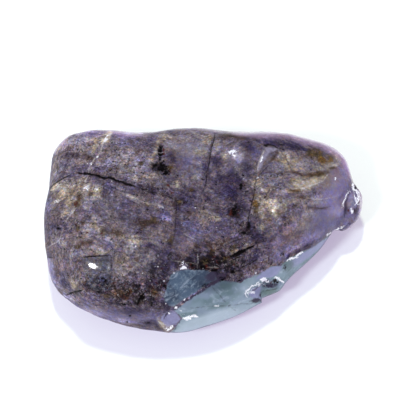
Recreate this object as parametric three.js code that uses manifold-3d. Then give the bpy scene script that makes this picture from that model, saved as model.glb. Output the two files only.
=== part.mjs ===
// A tumbled raw emerald: one pebble of mica schist with a zone of beryl along its front edge.
// Millimetres, +Z up. The origin is the centre of the bounding box, on the resting face.
// +X points to the narrow end and +Y to the long, nearly straight back edge.

import * as THREE from "three";
import { mergeVertices } from "three/addons/utils/BufferGeometryUtils.js";
import Module from "manifold-3d";

// Driving dimensions
const girthHeight = 5.6; // from the resting face up to the widest line round the side
const topRise = 7.0; // from the widest line up to the crown
const underDrop = 5.95; // from the widest line down to the belly, before it is worn flat
const sideFullness = 2.7; // 2 is an ellipse from the side, more is boxier
const cornerFullness = 2.2; // added to it above the widest line, at the blunt front corner
const cornerTowards = [-0.82, -0.57]; // direction of that corner, seen from above
const cornerFading = 3; // how quickly the added fullness fades away from that direction
const crownTilt = 0.03; // mm that the crown rises for each mm towards the back edge
const narrowEndThinning = 0.34; // share of the rise that is lost at the narrow end
const thinningFrom = 7; // x where the narrow end starts to thin
const thinningTo = 20; // x where it is thinnest
const halfSize = [19, 13, 6]; // rough half sizes, for the way that the surface faces
const surfaceSteps = 18; // cuts along each edge of the icosahedron

// The widest line seen from above, as [x, y], from the blunt end round by the back edge.
// A smooth closed curve runs through the points.
const girthOutline = [
  [-18.75, -0.5],
  [-18.45, 4.9],
  [-18.0, 11.0],
  [-14.6, 12.7],
  [-7.9, 12.2],
  [-1.5, 12.9],
  [5.9, 12.4],
  [12.5, 11.9],
  [17.1, 9.8],
  [18.0, 5.4],
  [15.3, -1.1],
  [11.2, -5.1],
  [6.5, -9.0],
  [0.7, -12.2],
  [-4.3, -12.8],
  [-10.3, -11.8],
  [-15.2, -9.5],
  [-18.1, -6.3],
];

// Soft swells (rise over 0) and hollows of the upper side, each a round bump that fades out
const crownRelief = [
  { name: "blunt corner swell", x: -13.9, y: -9.0, radius: 2.6, rise: 0.5 },
  { name: "blunt side hollow", x: -7.5, y: -7.5, radius: 3.0, rise: -0.12 },
  { name: "back corner swell", x: -11.0, y: 6.5, radius: 6.0, rise: 0.25 },
  { name: "middle swell", x: 5.5, y: 8.1, radius: 2.6, rise: 1.0 },
  { name: "cross hollow", x: 2.6, y: 3.4, radius: 3.0, rise: -0.5 },
  { name: "narrow end swell", x: 11.2, y: 0.3, radius: 2.9, rise: 1.25 },
  { name: "front hollow", x: 2.6, y: -4.4, radius: 3.4, rise: -0.35 },
];

// Long shallow waves that tumbling leaves all over: radians per mm along each axis, height in mm
const waves = [
  { x: 0.31, y: 0.17, z: 0.4, phase: 0.6, height: 0.16 },
  { x: -0.22, y: 0.42, z: 0.3, phase: 2.1, height: 0.13 },
  { x: 0.58, y: -0.37, z: 0.8, phase: 4.0, height: 0.07 },
];

// Flat breaks: a point on each break's plane and the way that it faces
const breaks = [
  { name: "blunt end chip", at: [-17.6, -6.0, 7.2], facing: [-0.86, -0.32, 0.4] },
  { name: "blunt corner chip", at: [-16.9, -7.9, 5.0], facing: [-0.68, -0.73, 0.0] },
  { name: "beryl wall", at: [3.8, -10.4, 4.6], facing: [0.46, -0.88, -0.06] },
];

// A rough lump that stands proud of the narrow end. Its bumps are a share of its radius.
const lump = { at: [17.15, 3.9, 4.5], size: [2.1, 3.2, 3.1], turn: -0.2, steps: 3, bumps: 0.12 };

// A bite out of the front edge, where a crystal broke off
const bite = { at: [7.7, -8.9, 6.6], size: [2.3, 1.2, 1.1], turn: 0.66, steps: 3, bumps: 0.1 };

const breakBlockSide = 24; // side of the block that cuts each flat break
const weldDistance = 1e-4; // corners nearer than this are one corner
const girthSamples = 2400; // steps round the widest line when a direction is looked up
const stoneColour = 0x6f6470;

const wasm = await Module();
wasm.setup();

// A geometry as a solid that can be joined and cut
function solidFrom(geometry) {
  const bare = geometry.clone();
  bare.deleteAttribute("normal");
  bare.deleteAttribute("uv");
  const merged = mergeVertices(bare, weldDistance);
  return new wasm.Manifold(
    new wasm.Mesh({
      numProp: 3,
      vertProperties: new Float32Array(merged.attributes.position.array),
      triVerts: new Uint32Array(merged.index.array),
    }),
  );
}

// A solid as a geometry again
function geometryFrom(solid) {
  const mesh = solid.getMesh();
  const geometry = new THREE.BufferGeometry();
  geometry.setAttribute("position", new THREE.BufferAttribute(mesh.vertProperties, 3));
  geometry.setIndex(new THREE.BufferAttribute(mesh.triVerts, 1));
  geometry.computeVertexNormals();
  return geometry;
}

// The widest line as a list of directions from the middle and how far off it is in each
function sampleGirth() {
  const corners = girthOutline.map(([x, y]) => new THREE.Vector3(x, y, 0));
  const curve = new THREE.CatmullRomCurve3(corners, true, "centripetal");
  return curve.getSpacedPoints(girthSamples).map((p) => ({
    angle: Math.atan2(p.y, p.x),
    reach: Math.hypot(p.x, p.y),
  }));
}

// How far the widest line is from the middle in one direction
function girthReach(outline, angle) {
  const turnTo = (point) => Math.abs(Math.sin((point.angle - angle) / 2));
  return outline.reduce((best, point) => (turnTo(point) < turnTo(best) ? point : best)).reach;
}

function crownHeightAt(x, y) {
  return crownRelief.reduce((sum, soft) => {
    const away = Math.hypot(x - soft.x, y - soft.y) / soft.radius;
    return sum + soft.rise * Math.exp(-away * away);
  }, crownTilt * y);
}

// How boxy the upper side is in one direction, seen from above
function fullnessTowards(angle) {
  const [x, y] = cornerTowards;
  const likeness = Math.cos(angle - Math.atan2(y, x));
  return sideFullness + cornerFullness * Math.max(likeness, 0) ** cornerFading;
}

function waveAt(p) {
  return waves.reduce(
    (sum, w) => sum + w.height * Math.sin(w.x * p.x + w.y * p.y + w.z * p.z + w.phase),
    0,
  );
}

// Moves a point of the unit sphere to the pebble's surface
function placeOnPebble(unit, outline) {
  const level = Math.asin(THREE.MathUtils.clamp(unit.z, -1, 1));
  const angle = Math.atan2(unit.y, unit.x);
  const power = 2 / (unit.z > 0 ? fullnessTowards(angle) : sideFullness);
  const reach = Math.cos(level) ** power;
  const lift = Math.abs(Math.sin(level)) ** power;
  const girth = girthReach(outline, angle);
  const p = new THREE.Vector3(Math.cos(angle), Math.sin(angle), 0).multiplyScalar(girth * reach);
  const thinning = 1 - narrowEndThinning * THREE.MathUtils.smoothstep(p.x, thinningFrom, thinningTo);
  if (unit.z > 0) {
    p.z = lift * (topRise * thinning + crownHeightAt(p.x, p.y));
  } else {
    p.z = -lift * underDrop;
  }
  const outward = unit.clone().divide(new THREE.Vector3(...halfSize)).normalize();
  p.addScaledVector(outward, waveAt(p));
  p.z = Math.max(p.z, -girthHeight); // worn flat where it rests
  return p;
}

function buildPebble() {
  const outline = sampleGirth();
  const geometry = new THREE.IcosahedronGeometry(1, surfaceSteps);
  const position = geometry.attributes.position;
  const unit = new THREE.Vector3();
  for (let i = 0; i < position.count; i++) {
    unit.fromBufferAttribute(position, i).normalize();
    const p = placeOnPebble(unit, outline);
    position.setXYZ(i, p.x, p.y, p.z + girthHeight);
  }
  return solidFrom(geometry);
}

// A bumpy ball: its radius swings in and out by the share that bumps gives
function buildRoughBall({ at, size, turn, steps, bumps }) {
  const geometry = new THREE.IcosahedronGeometry(1, steps);
  const position = geometry.attributes.position;
  const p = new THREE.Vector3();
  for (let i = 0; i < position.count; i++) {
    p.fromBufferAttribute(position, i);
    const swing = Math.sin(5 * p.x + 1) * Math.sin(6 * p.y + 2) * Math.sin(7 * p.z + 0.5);
    p.multiplyScalar(1 + bumps * swing);
    position.setXYZ(i, p.x, p.y, p.z);
  }
  geometry.scale(...size);
  geometry.rotateZ(turn);
  geometry.translate(...at);
  return solidFrom(geometry);
}

// A big block whose near face is the break's plane
function buildBreakBlock({ at, facing }) {
  const normal = new THREE.Vector3(...facing).normalize();
  const geometry = new THREE.BoxGeometry(breakBlockSide, breakBlockSide, breakBlockSide);
  geometry.applyQuaternion(
    new THREE.Quaternion().setFromUnitVectors(new THREE.Vector3(0, 0, 1), normal),
  );
  const middle = new THREE.Vector3(...at).addScaledVector(normal, breakBlockSide / 2);
  geometry.translate(middle.x, middle.y, middle.z);
  return solidFrom(geometry);
}

function buildStone() {
  let solid = buildPebble().add(buildRoughBall(lump));
  for (const flat of breaks) {
    solid = solid.subtract(buildBreakBlock(flat));
  }
  return solid.subtract(buildRoughBall(bite));
}

// Puts the origin under the middle of the bounding box, on the resting face
function centreOnBase(geometry) {
  geometry.computeBoundingBox();
  const { min, max } = geometry.boundingBox;
  return geometry.translate(-(min.x + max.x) / 2, -(min.y + max.y) / 2, -min.z);
}

const stone = new THREE.Mesh(
  centreOnBase(geometryFrom(buildStone())),
  new THREE.MeshStandardMaterial({ color: stoneColour, roughness: 0.35, metalness: 0 }),
);
stone.name = "emerald_stone";

const group = new THREE.Group();
group.add(stone);

export default group;
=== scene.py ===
# A tumbled raw emerald on a pale table.
# It is one pebble of mica schist with a zone of beryl along its front edge.
# Blender works in metres here. Marks on the stone are charted in squares of about 0.12 mm.
import math

import bpy
import numpy as np
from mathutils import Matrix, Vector


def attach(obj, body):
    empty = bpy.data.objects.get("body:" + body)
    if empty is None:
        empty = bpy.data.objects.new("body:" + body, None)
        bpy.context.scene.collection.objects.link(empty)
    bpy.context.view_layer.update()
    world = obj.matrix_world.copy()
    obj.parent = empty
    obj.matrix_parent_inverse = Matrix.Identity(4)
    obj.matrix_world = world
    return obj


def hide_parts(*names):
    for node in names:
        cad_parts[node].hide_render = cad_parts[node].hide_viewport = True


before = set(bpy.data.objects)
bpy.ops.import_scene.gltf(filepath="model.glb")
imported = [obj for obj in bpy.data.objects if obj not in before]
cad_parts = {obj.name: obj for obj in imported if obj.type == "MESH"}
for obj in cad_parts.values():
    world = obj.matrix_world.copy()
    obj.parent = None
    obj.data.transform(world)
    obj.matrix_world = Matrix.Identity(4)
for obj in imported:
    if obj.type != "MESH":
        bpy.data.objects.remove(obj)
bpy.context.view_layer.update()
print("frame loaded")


# The viewing place, and the chart that marks are placed on

viewing = {
    "elevation": 60.0,  # degrees above the table
    "distance": 0.300,  # metres from the stone's middle
    "middle": (0.0, 0.0, 0.006),
    "aside": -0.00042,  # how far the camera is moved to its own right
    "raised": 0.00325,  # and up, in its own plane
    "lens": 224.1,  # mm, on a sensor 36 mm wide
    "sensor": 36.0,
    "clip": (0.01, 10.0),  # nearest and farthest that is seen, in metres
}
mmPerMetre = 1000.0
chartSquares = 400  # squares across the chart, which is what the camera sees

lean = math.radians(viewing["elevation"])
viewBack = np.array((0.0, -math.cos(lean), math.sin(lean)))
viewUp = np.array((0.0, math.sin(lean), math.cos(lean)))
viewRight = np.array((1.0, 0.0, 0.0))
eye = (
    np.array(viewing["middle"])
    + viewBack * viewing["distance"]
    + viewRight * viewing["aside"]
    + viewUp * viewing["raised"]
)
squaresPerSlope = chartSquares * viewing["lens"] / viewing["sensor"]


def chartOf(points):
    # where points of the stone lie on the chart: squares across, and squares down
    away = points - eye
    depth = -(away @ viewBack)
    across = squaresPerSlope * (away @ viewRight) / depth
    down = -squaresPerSlope * (away @ viewUp) / depth
    return chartSquares / 2 + across, chartSquares / 2 + down


def addCamera():
    bpy.ops.object.camera_add(location=eye, rotation=(math.radians(90 - viewing["elevation"]), 0, 0))
    camera = bpy.context.object
    camera.data.lens = viewing["lens"]
    camera.data.sensor_width = viewing["sensor"]
    camera.data.clip_start, camera.data.clip_end = viewing["clip"]
    bpy.context.scene.camera = camera


# Marks on the chart. A line is its width and its path.
# A patch is its middle, half size, turn in degrees clockwise, and strength.

cracks = {
    "longLeft": (1.5, [
        (47, 190), (50, 188), (54, 184), (58, 181.5), (62, 179), (67, 176.5), (72, 174.3),
    ]),
    "longMiddle": (3.0, [
        (76, 172.5), (81, 173.5), (86, 173.5), (92, 174.5), (97, 175.5), (101, 177), (104, 178.5),
        (109, 177.5), (112, 178.5), (116, 180.5), (121, 182), (126, 184), (131, 185), (137, 187.5),
    ]),
    "longRight": (1.2, [
        (133, 186.3), (137, 187.5), (143, 189), (150, 192), (158, 194), (166, 195.5), (172, 198),
        (178, 201),
    ]),
    "crossUpper": (1.5, [
        (215, 132), (214, 140), (212, 147), (210.5, 153), (209.5, 160), (208.5, 166), (207, 172),
    ]),
    "crossLower": (1.3, [(207, 171), (206.5, 178), (206, 184), (204, 188), (202.5, 194)]),
    "fissure": (0.9, [(177, 196), (176, 215), (175.5, 225), (175, 232), (173.5, 242)]),
    "tanZoneUpper": (1.2, [
        (269, 165), (264, 170), (260, 174), (257, 179), (255, 184), (254.5, 190),
    ]),
    "tanZoneLower": (1.3, [
        (254.5, 188), (254, 195), (252, 203), (250, 210), (248.5, 218), (247, 226),
    ]),
    "frontLeft": (1.8, [(65, 296), (70, 293.5), (75, 292), (79, 291), (84, 289.3)]),
    "frontLeftFaint": (0.8, [(84, 289.5), (96, 288), (116, 286)]),
    "leftStep": (1.4, [(43, 257), (48, 257.3), (53, 257.8)]),
    "patchTop": (1.7, [(82, 257.5), (90, 256.5), (101, 256), (111, 255)]),
    "patchSide": (0.8, [(111, 255), (111.5, 264), (111, 273)]),
    "rightHair": (0.6, [(304, 207), (314, 207.5), (322, 208.5), (332, 206)]),
    "flakeTop": (1.4, [(264, 145.8), (268, 144.5), (274, 146), (279, 149)]),
    "slit": (2.6, [(230, 256.6), (233, 255.5), (238, 253), (241.5, 251.3), (245, 249.8)]),
    "slitEnd": (1.8, [(243, 250.5), (248, 248.3), (254.5, 245.5)]),
    "slitTail": (1.4, [(257, 259.5), (248, 264.5), (240, 268.5)]),
    "slitAbove": (1.0, [(222, 247), (234, 241), (247, 237)]),
    "slitBelow": (1.2, [(226, 263), (236, 258.5), (245, 255)]),
    "strokeOne": (2.2, [(145, 292), (141, 297), (138.5, 301), (137, 306)]),
    "strokeTwo": (1.8, [(152, 301), (151.5, 307)]),
    "berylOne": (0.9, [(212, 286.5), (217, 292.5), (223, 299), (226, 303)]),
    "berylTwo": (0.85, [
        (190, 308.3), (198, 307.6), (206, 307), (213, 306.2), (222, 306.3), (229, 306),
    ]),
    "berylNick": (1.8, [(228, 306.3), (231.5, 305.6)]),
    "berylThree": (1.0, [(231, 305.8), (236, 304.8), (241, 303.5), (250, 302.6), (258, 300.3)]),
    "berylFour": (0.6, [(230, 307), (236, 310.5)]),
    "underCluster": (1.1, [(262, 292.5), (269, 289.3), (277, 285.3)]),
    "upperHair": (0.7, [(199, 211), (207, 213.5), (214, 216.5), (222, 218)]),
}
veins = {
    "paleTop": (4.4, [(112, 132), (110, 136), (107, 139), (104.5, 141), (102.5, 145)]),
    "paleUpper": (2.4, [(103, 143), (101, 150), (98.5, 155)]),
    "paleBright": (2.4, [(99, 154.5), (96, 157.5), (94, 159), (91.5, 163), (90, 166)]),
    "paleLower": (1.6, [(90, 165), (89, 170), (88, 175), (86, 180), (85, 184)]),
    "paleTail": (1.7, [(77, 206), (72, 213), (67, 219), (64, 224)]),
    "paleEnd": (1.4, [(63, 229), (61, 236), (59, 241), (53, 244), (46, 248.5)]),
    "arc": (1.0, [(69, 142), (70, 145), (72, 148), (75, 151), (79, 152)]),
    "tanArc": (0.9, [(60, 212.5), (65, 211), (70, 210.5)]),
    "wispOne": (0.8, [(119, 192), (130, 196), (137, 199), (143, 202)]),
    "wispTwo": (0.7, [(141, 201), (150, 204), (157, 205.5), (164, 208)]),
    "wispBelow": (0.8, [(128, 198), (136, 202), (142, 205.5)]),
    "shortBright": (1.1, [(200.5, 160), (204, 160), (207.5, 160.6)]),
    "scratch": (1.3, [(184, 234), (188, 236), (192, 238.3), (197.5, 241)]),
    "lightLine": (0.9, [(171, 260.3), (184, 262.5), (191, 263), (197, 264.7)]),
    "rightPale": (1.0, [
        (302, 197), (311, 199), (317, 199.5), (325, 199), (331, 197.5), (337, 196.5),
    ]),
    "creamLeft": (1.7, [(289, 188), (293, 189), (300, 188), (304, 187.5)]),
    "creamMiddle": (3.0, [(301, 189), (304, 187.8), (308, 186.3), (313, 185)]),
    "creamRight": (1.4, [(312, 185.2), (318, 183), (323, 181), (326, 177), (328.5, 173.5)]),
    "creamHook": (1.2, [(328, 164.5), (330, 166.5), (334, 166), (339, 163), (340.5, 159)]),
    "creamUpper": (1.0, [(298, 172.5), (303, 172.5), (307, 171)]),
    "bluishDash": (1.7, [(282, 191), (286.5, 193.5)]),
    "flakeEdge": (2.0, [
        (265, 149), (263, 153), (261, 157), (259.3, 161.5), (258, 166), (257, 172),
    ]),
    "chipLeft": (2.2, [(158, 320), (161, 323.5), (164, 327), (168, 330)]),
    "shelf": (1.0, [(82, 291), (84, 290.2)]),
    "chipFront": (1.0, [(67, 297.5), (71, 299), (75, 302)]),
    "micaThread": (1.0, [(210, 268), (214, 267.3), (218, 267)]),
    "leftLong": (0.8, [(53, 234), (58, 240), (61, 246)]),
    "threadUp": (0.7, [(98, 205), (104, 209), (109, 214), (114, 216)]),
    "threadDown": (0.8, [(140, 215.5), (144, 216)]),
    "blueThread": (1.0, [(197.4, 253), (197.8, 260), (197.2, 269)]),
    "blueThreadAcross": (1.1, [(206, 267.5), (212, 267.2), (219, 268)]),
}
whites = {
    "knobSliver": (1.2, [
        (348, 190.5), (346.6, 194.5), (344.6, 199), (342.6, 203.5), (341.2, 208.5),
    ]),
    "knobSpot": (2.2, [(350.8, 207.6), (351.2, 210), (351.2, 213.4)]),
    "knobTopDot": (1.3, [(351.8, 183.6), (352.2, 186)]),
    "knobSecondDot": (1.1, [(351.9, 187.5), (352.2, 190), (352.8, 193)]),
    "knobFoot": (2.0, [(335.8, 230), (338, 229), (340.6, 228)]),
    "knobFootRight": (1.0, [(339.5, 228.3), (345.5, 225.3)]),
    "knobFootLeft": (1.1, [(326, 236), (332, 232.6), (336.5, 230)]),
    "streakOne": (2.6, [
        (286.5, 261), (289, 259.5), (292, 258.3), (296, 257.2), (299, 254.6), (303.5, 252),
    ]),
    # painted highlight: the white streak along the beryl's lower front
    "streakTwo": (3.6, [(182.5, 318.8), (187, 318.3), (190, 317), (194, 316), (198.5, 316.8)]),
    "streakTwoUnder": (2.4, [(184, 319.3), (188, 319.2), (192, 318.5)]),
    "chipRight": (3.0, [(167, 328.5), (170, 326.6), (173, 324.6)]),
    "arcOuter": (1.6, [
        (247, 297.6), (247, 293.8), (249.6, 290.3), (253.4, 287.2), (258.2, 285.4), (262, 286.6),
    ]),
    "arcInner": (1.8, [(248, 295.6), (251.4, 293.8), (256, 292.6)]),
    "clusterLeft": (4.0, [(261.5, 281), (263.6, 279.8), (266.6, 281.4), (269, 282.8)]),
    "clusterRight": (2.6, [(274.8, 278.2), (278, 277.6), (280.4, 280.4), (283.2, 282)]),
    "clusterBit": (2.0, [(257.6, 284.2), (259.8, 281.6)]),
    "berylTip": (3.6, [(180.8, 269.6), (183.4, 267.2), (186.2, 268.6)]),
    "berylTipUp": (2.0, [(182.4, 262), (183.8, 262.2)]),
    "seamOne": (3.2, [(174.8, 308.6), (177.3, 307.6)]),
    "seamTwo": (1.6, [(180.5, 311), (181.6, 311.4)]),
    "seamThree": (2.6, [(183.6, 300), (184.8, 299.4)]),
    "seamFour": (2.0, [(168.6, 314), (169.6, 314.3)]),
    "flakeBright": (2.6, [(262.6, 156), (261.2, 159), (260.3, 162.5)]),
    "flakeGlint": (2.2, [(258.6, 177), (256.8, 178.5)]),
    "berylBit": (0.9, [(214.3, 306.3), (219.5, 305.8)]),
}
slates = {
    "seam": (3.6, [
        (224, 277.5), (219, 279.5), (214.5, 283), (208, 286), (202.5, 290.5), (196, 293.6),
        (191.5, 297.6), (184, 301.5), (178.5, 307), (170.5, 311.5), (163, 319),
    ]),
    "cornerLine": (0.7, [(184, 318), (181, 320), (178, 323), (172.5, 330.5)]),
    "knobGroove": (1.0, [
        (349.6, 193), (347.6, 197), (345.8, 201), (345, 206), (344.8, 211), (345, 219),
    ]),
    "knobHole": (1.8, [(353.8, 207.5), (354, 213.5)]),
    "knobLineRight": (1.2, [(356.4, 206.5), (356.6, 214.5)]),
    "knobUnder": (0.8, [(351, 222), (345, 226.6), (340, 230.3), (336, 232.6)]),
    "knobNick": (2.6, [(336.3, 232), (338, 231)]),
    # painted shadow in the notch and its step
    "notch": (2.4, [(251, 300.5), (256, 299.3), (260.3, 298)]),
    "notchUp": (1.4, [(260.8, 298.5), (261.2, 293)]),
    "holeUnder": (1.4, [(262.5, 287), (269, 286), (277, 283.5)]),
}
feet = {  # the beryl's lower edge, where it is darkened as painted shade
    "beryl": (1.6, [
        (171, 331), (180, 331.6), (190, 330.4), (200, 328.2), (215, 324), (230, 318.4), (243, 312),
        (254, 305), (259.5, 301),
    ]),
}
stains = {
    "acrossTan": (1.2, [(263, 172), (270, 172.5), (281, 173.5), (290, 175)]),
    "downTan": (1.3, [(281, 152), (285, 158), (288, 163), (291, 169), (294, 173)]),
    "underTan": (1.6, [(300, 176), (310, 174.5), (318, 175.5), (325, 172)]),
    "leftBrown": (1.2, [(82, 223), (90, 223), (98, 224.5)]),
    "underCream": (1.6, [(289, 190.5), (295, 190.5), (299, 191)]),
    "veinRust": (2.2, [(80, 196), (77, 203), (75.5, 208), (74, 214)]),
    "pocket": (1.2, [(266, 181), (268, 186), (276, 188), (282, 188.5)]),
    "longCrackTint": (1.4, [(112, 181.5), (121, 184), (131, 186.5)]),
    "wispTint": (1.0, [(142, 204.5), (150, 206)]),
    "rightSpeck": (1.4, [(291, 209), (296, 206)]),
    "rightSpeckTwo": (1.8, [(281, 217.5), (287, 218)]),
    "wedgeUnder": (1.3, [(96, 234.5), (104, 235), (110, 233.5), (122, 231.5)]),
}
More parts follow.
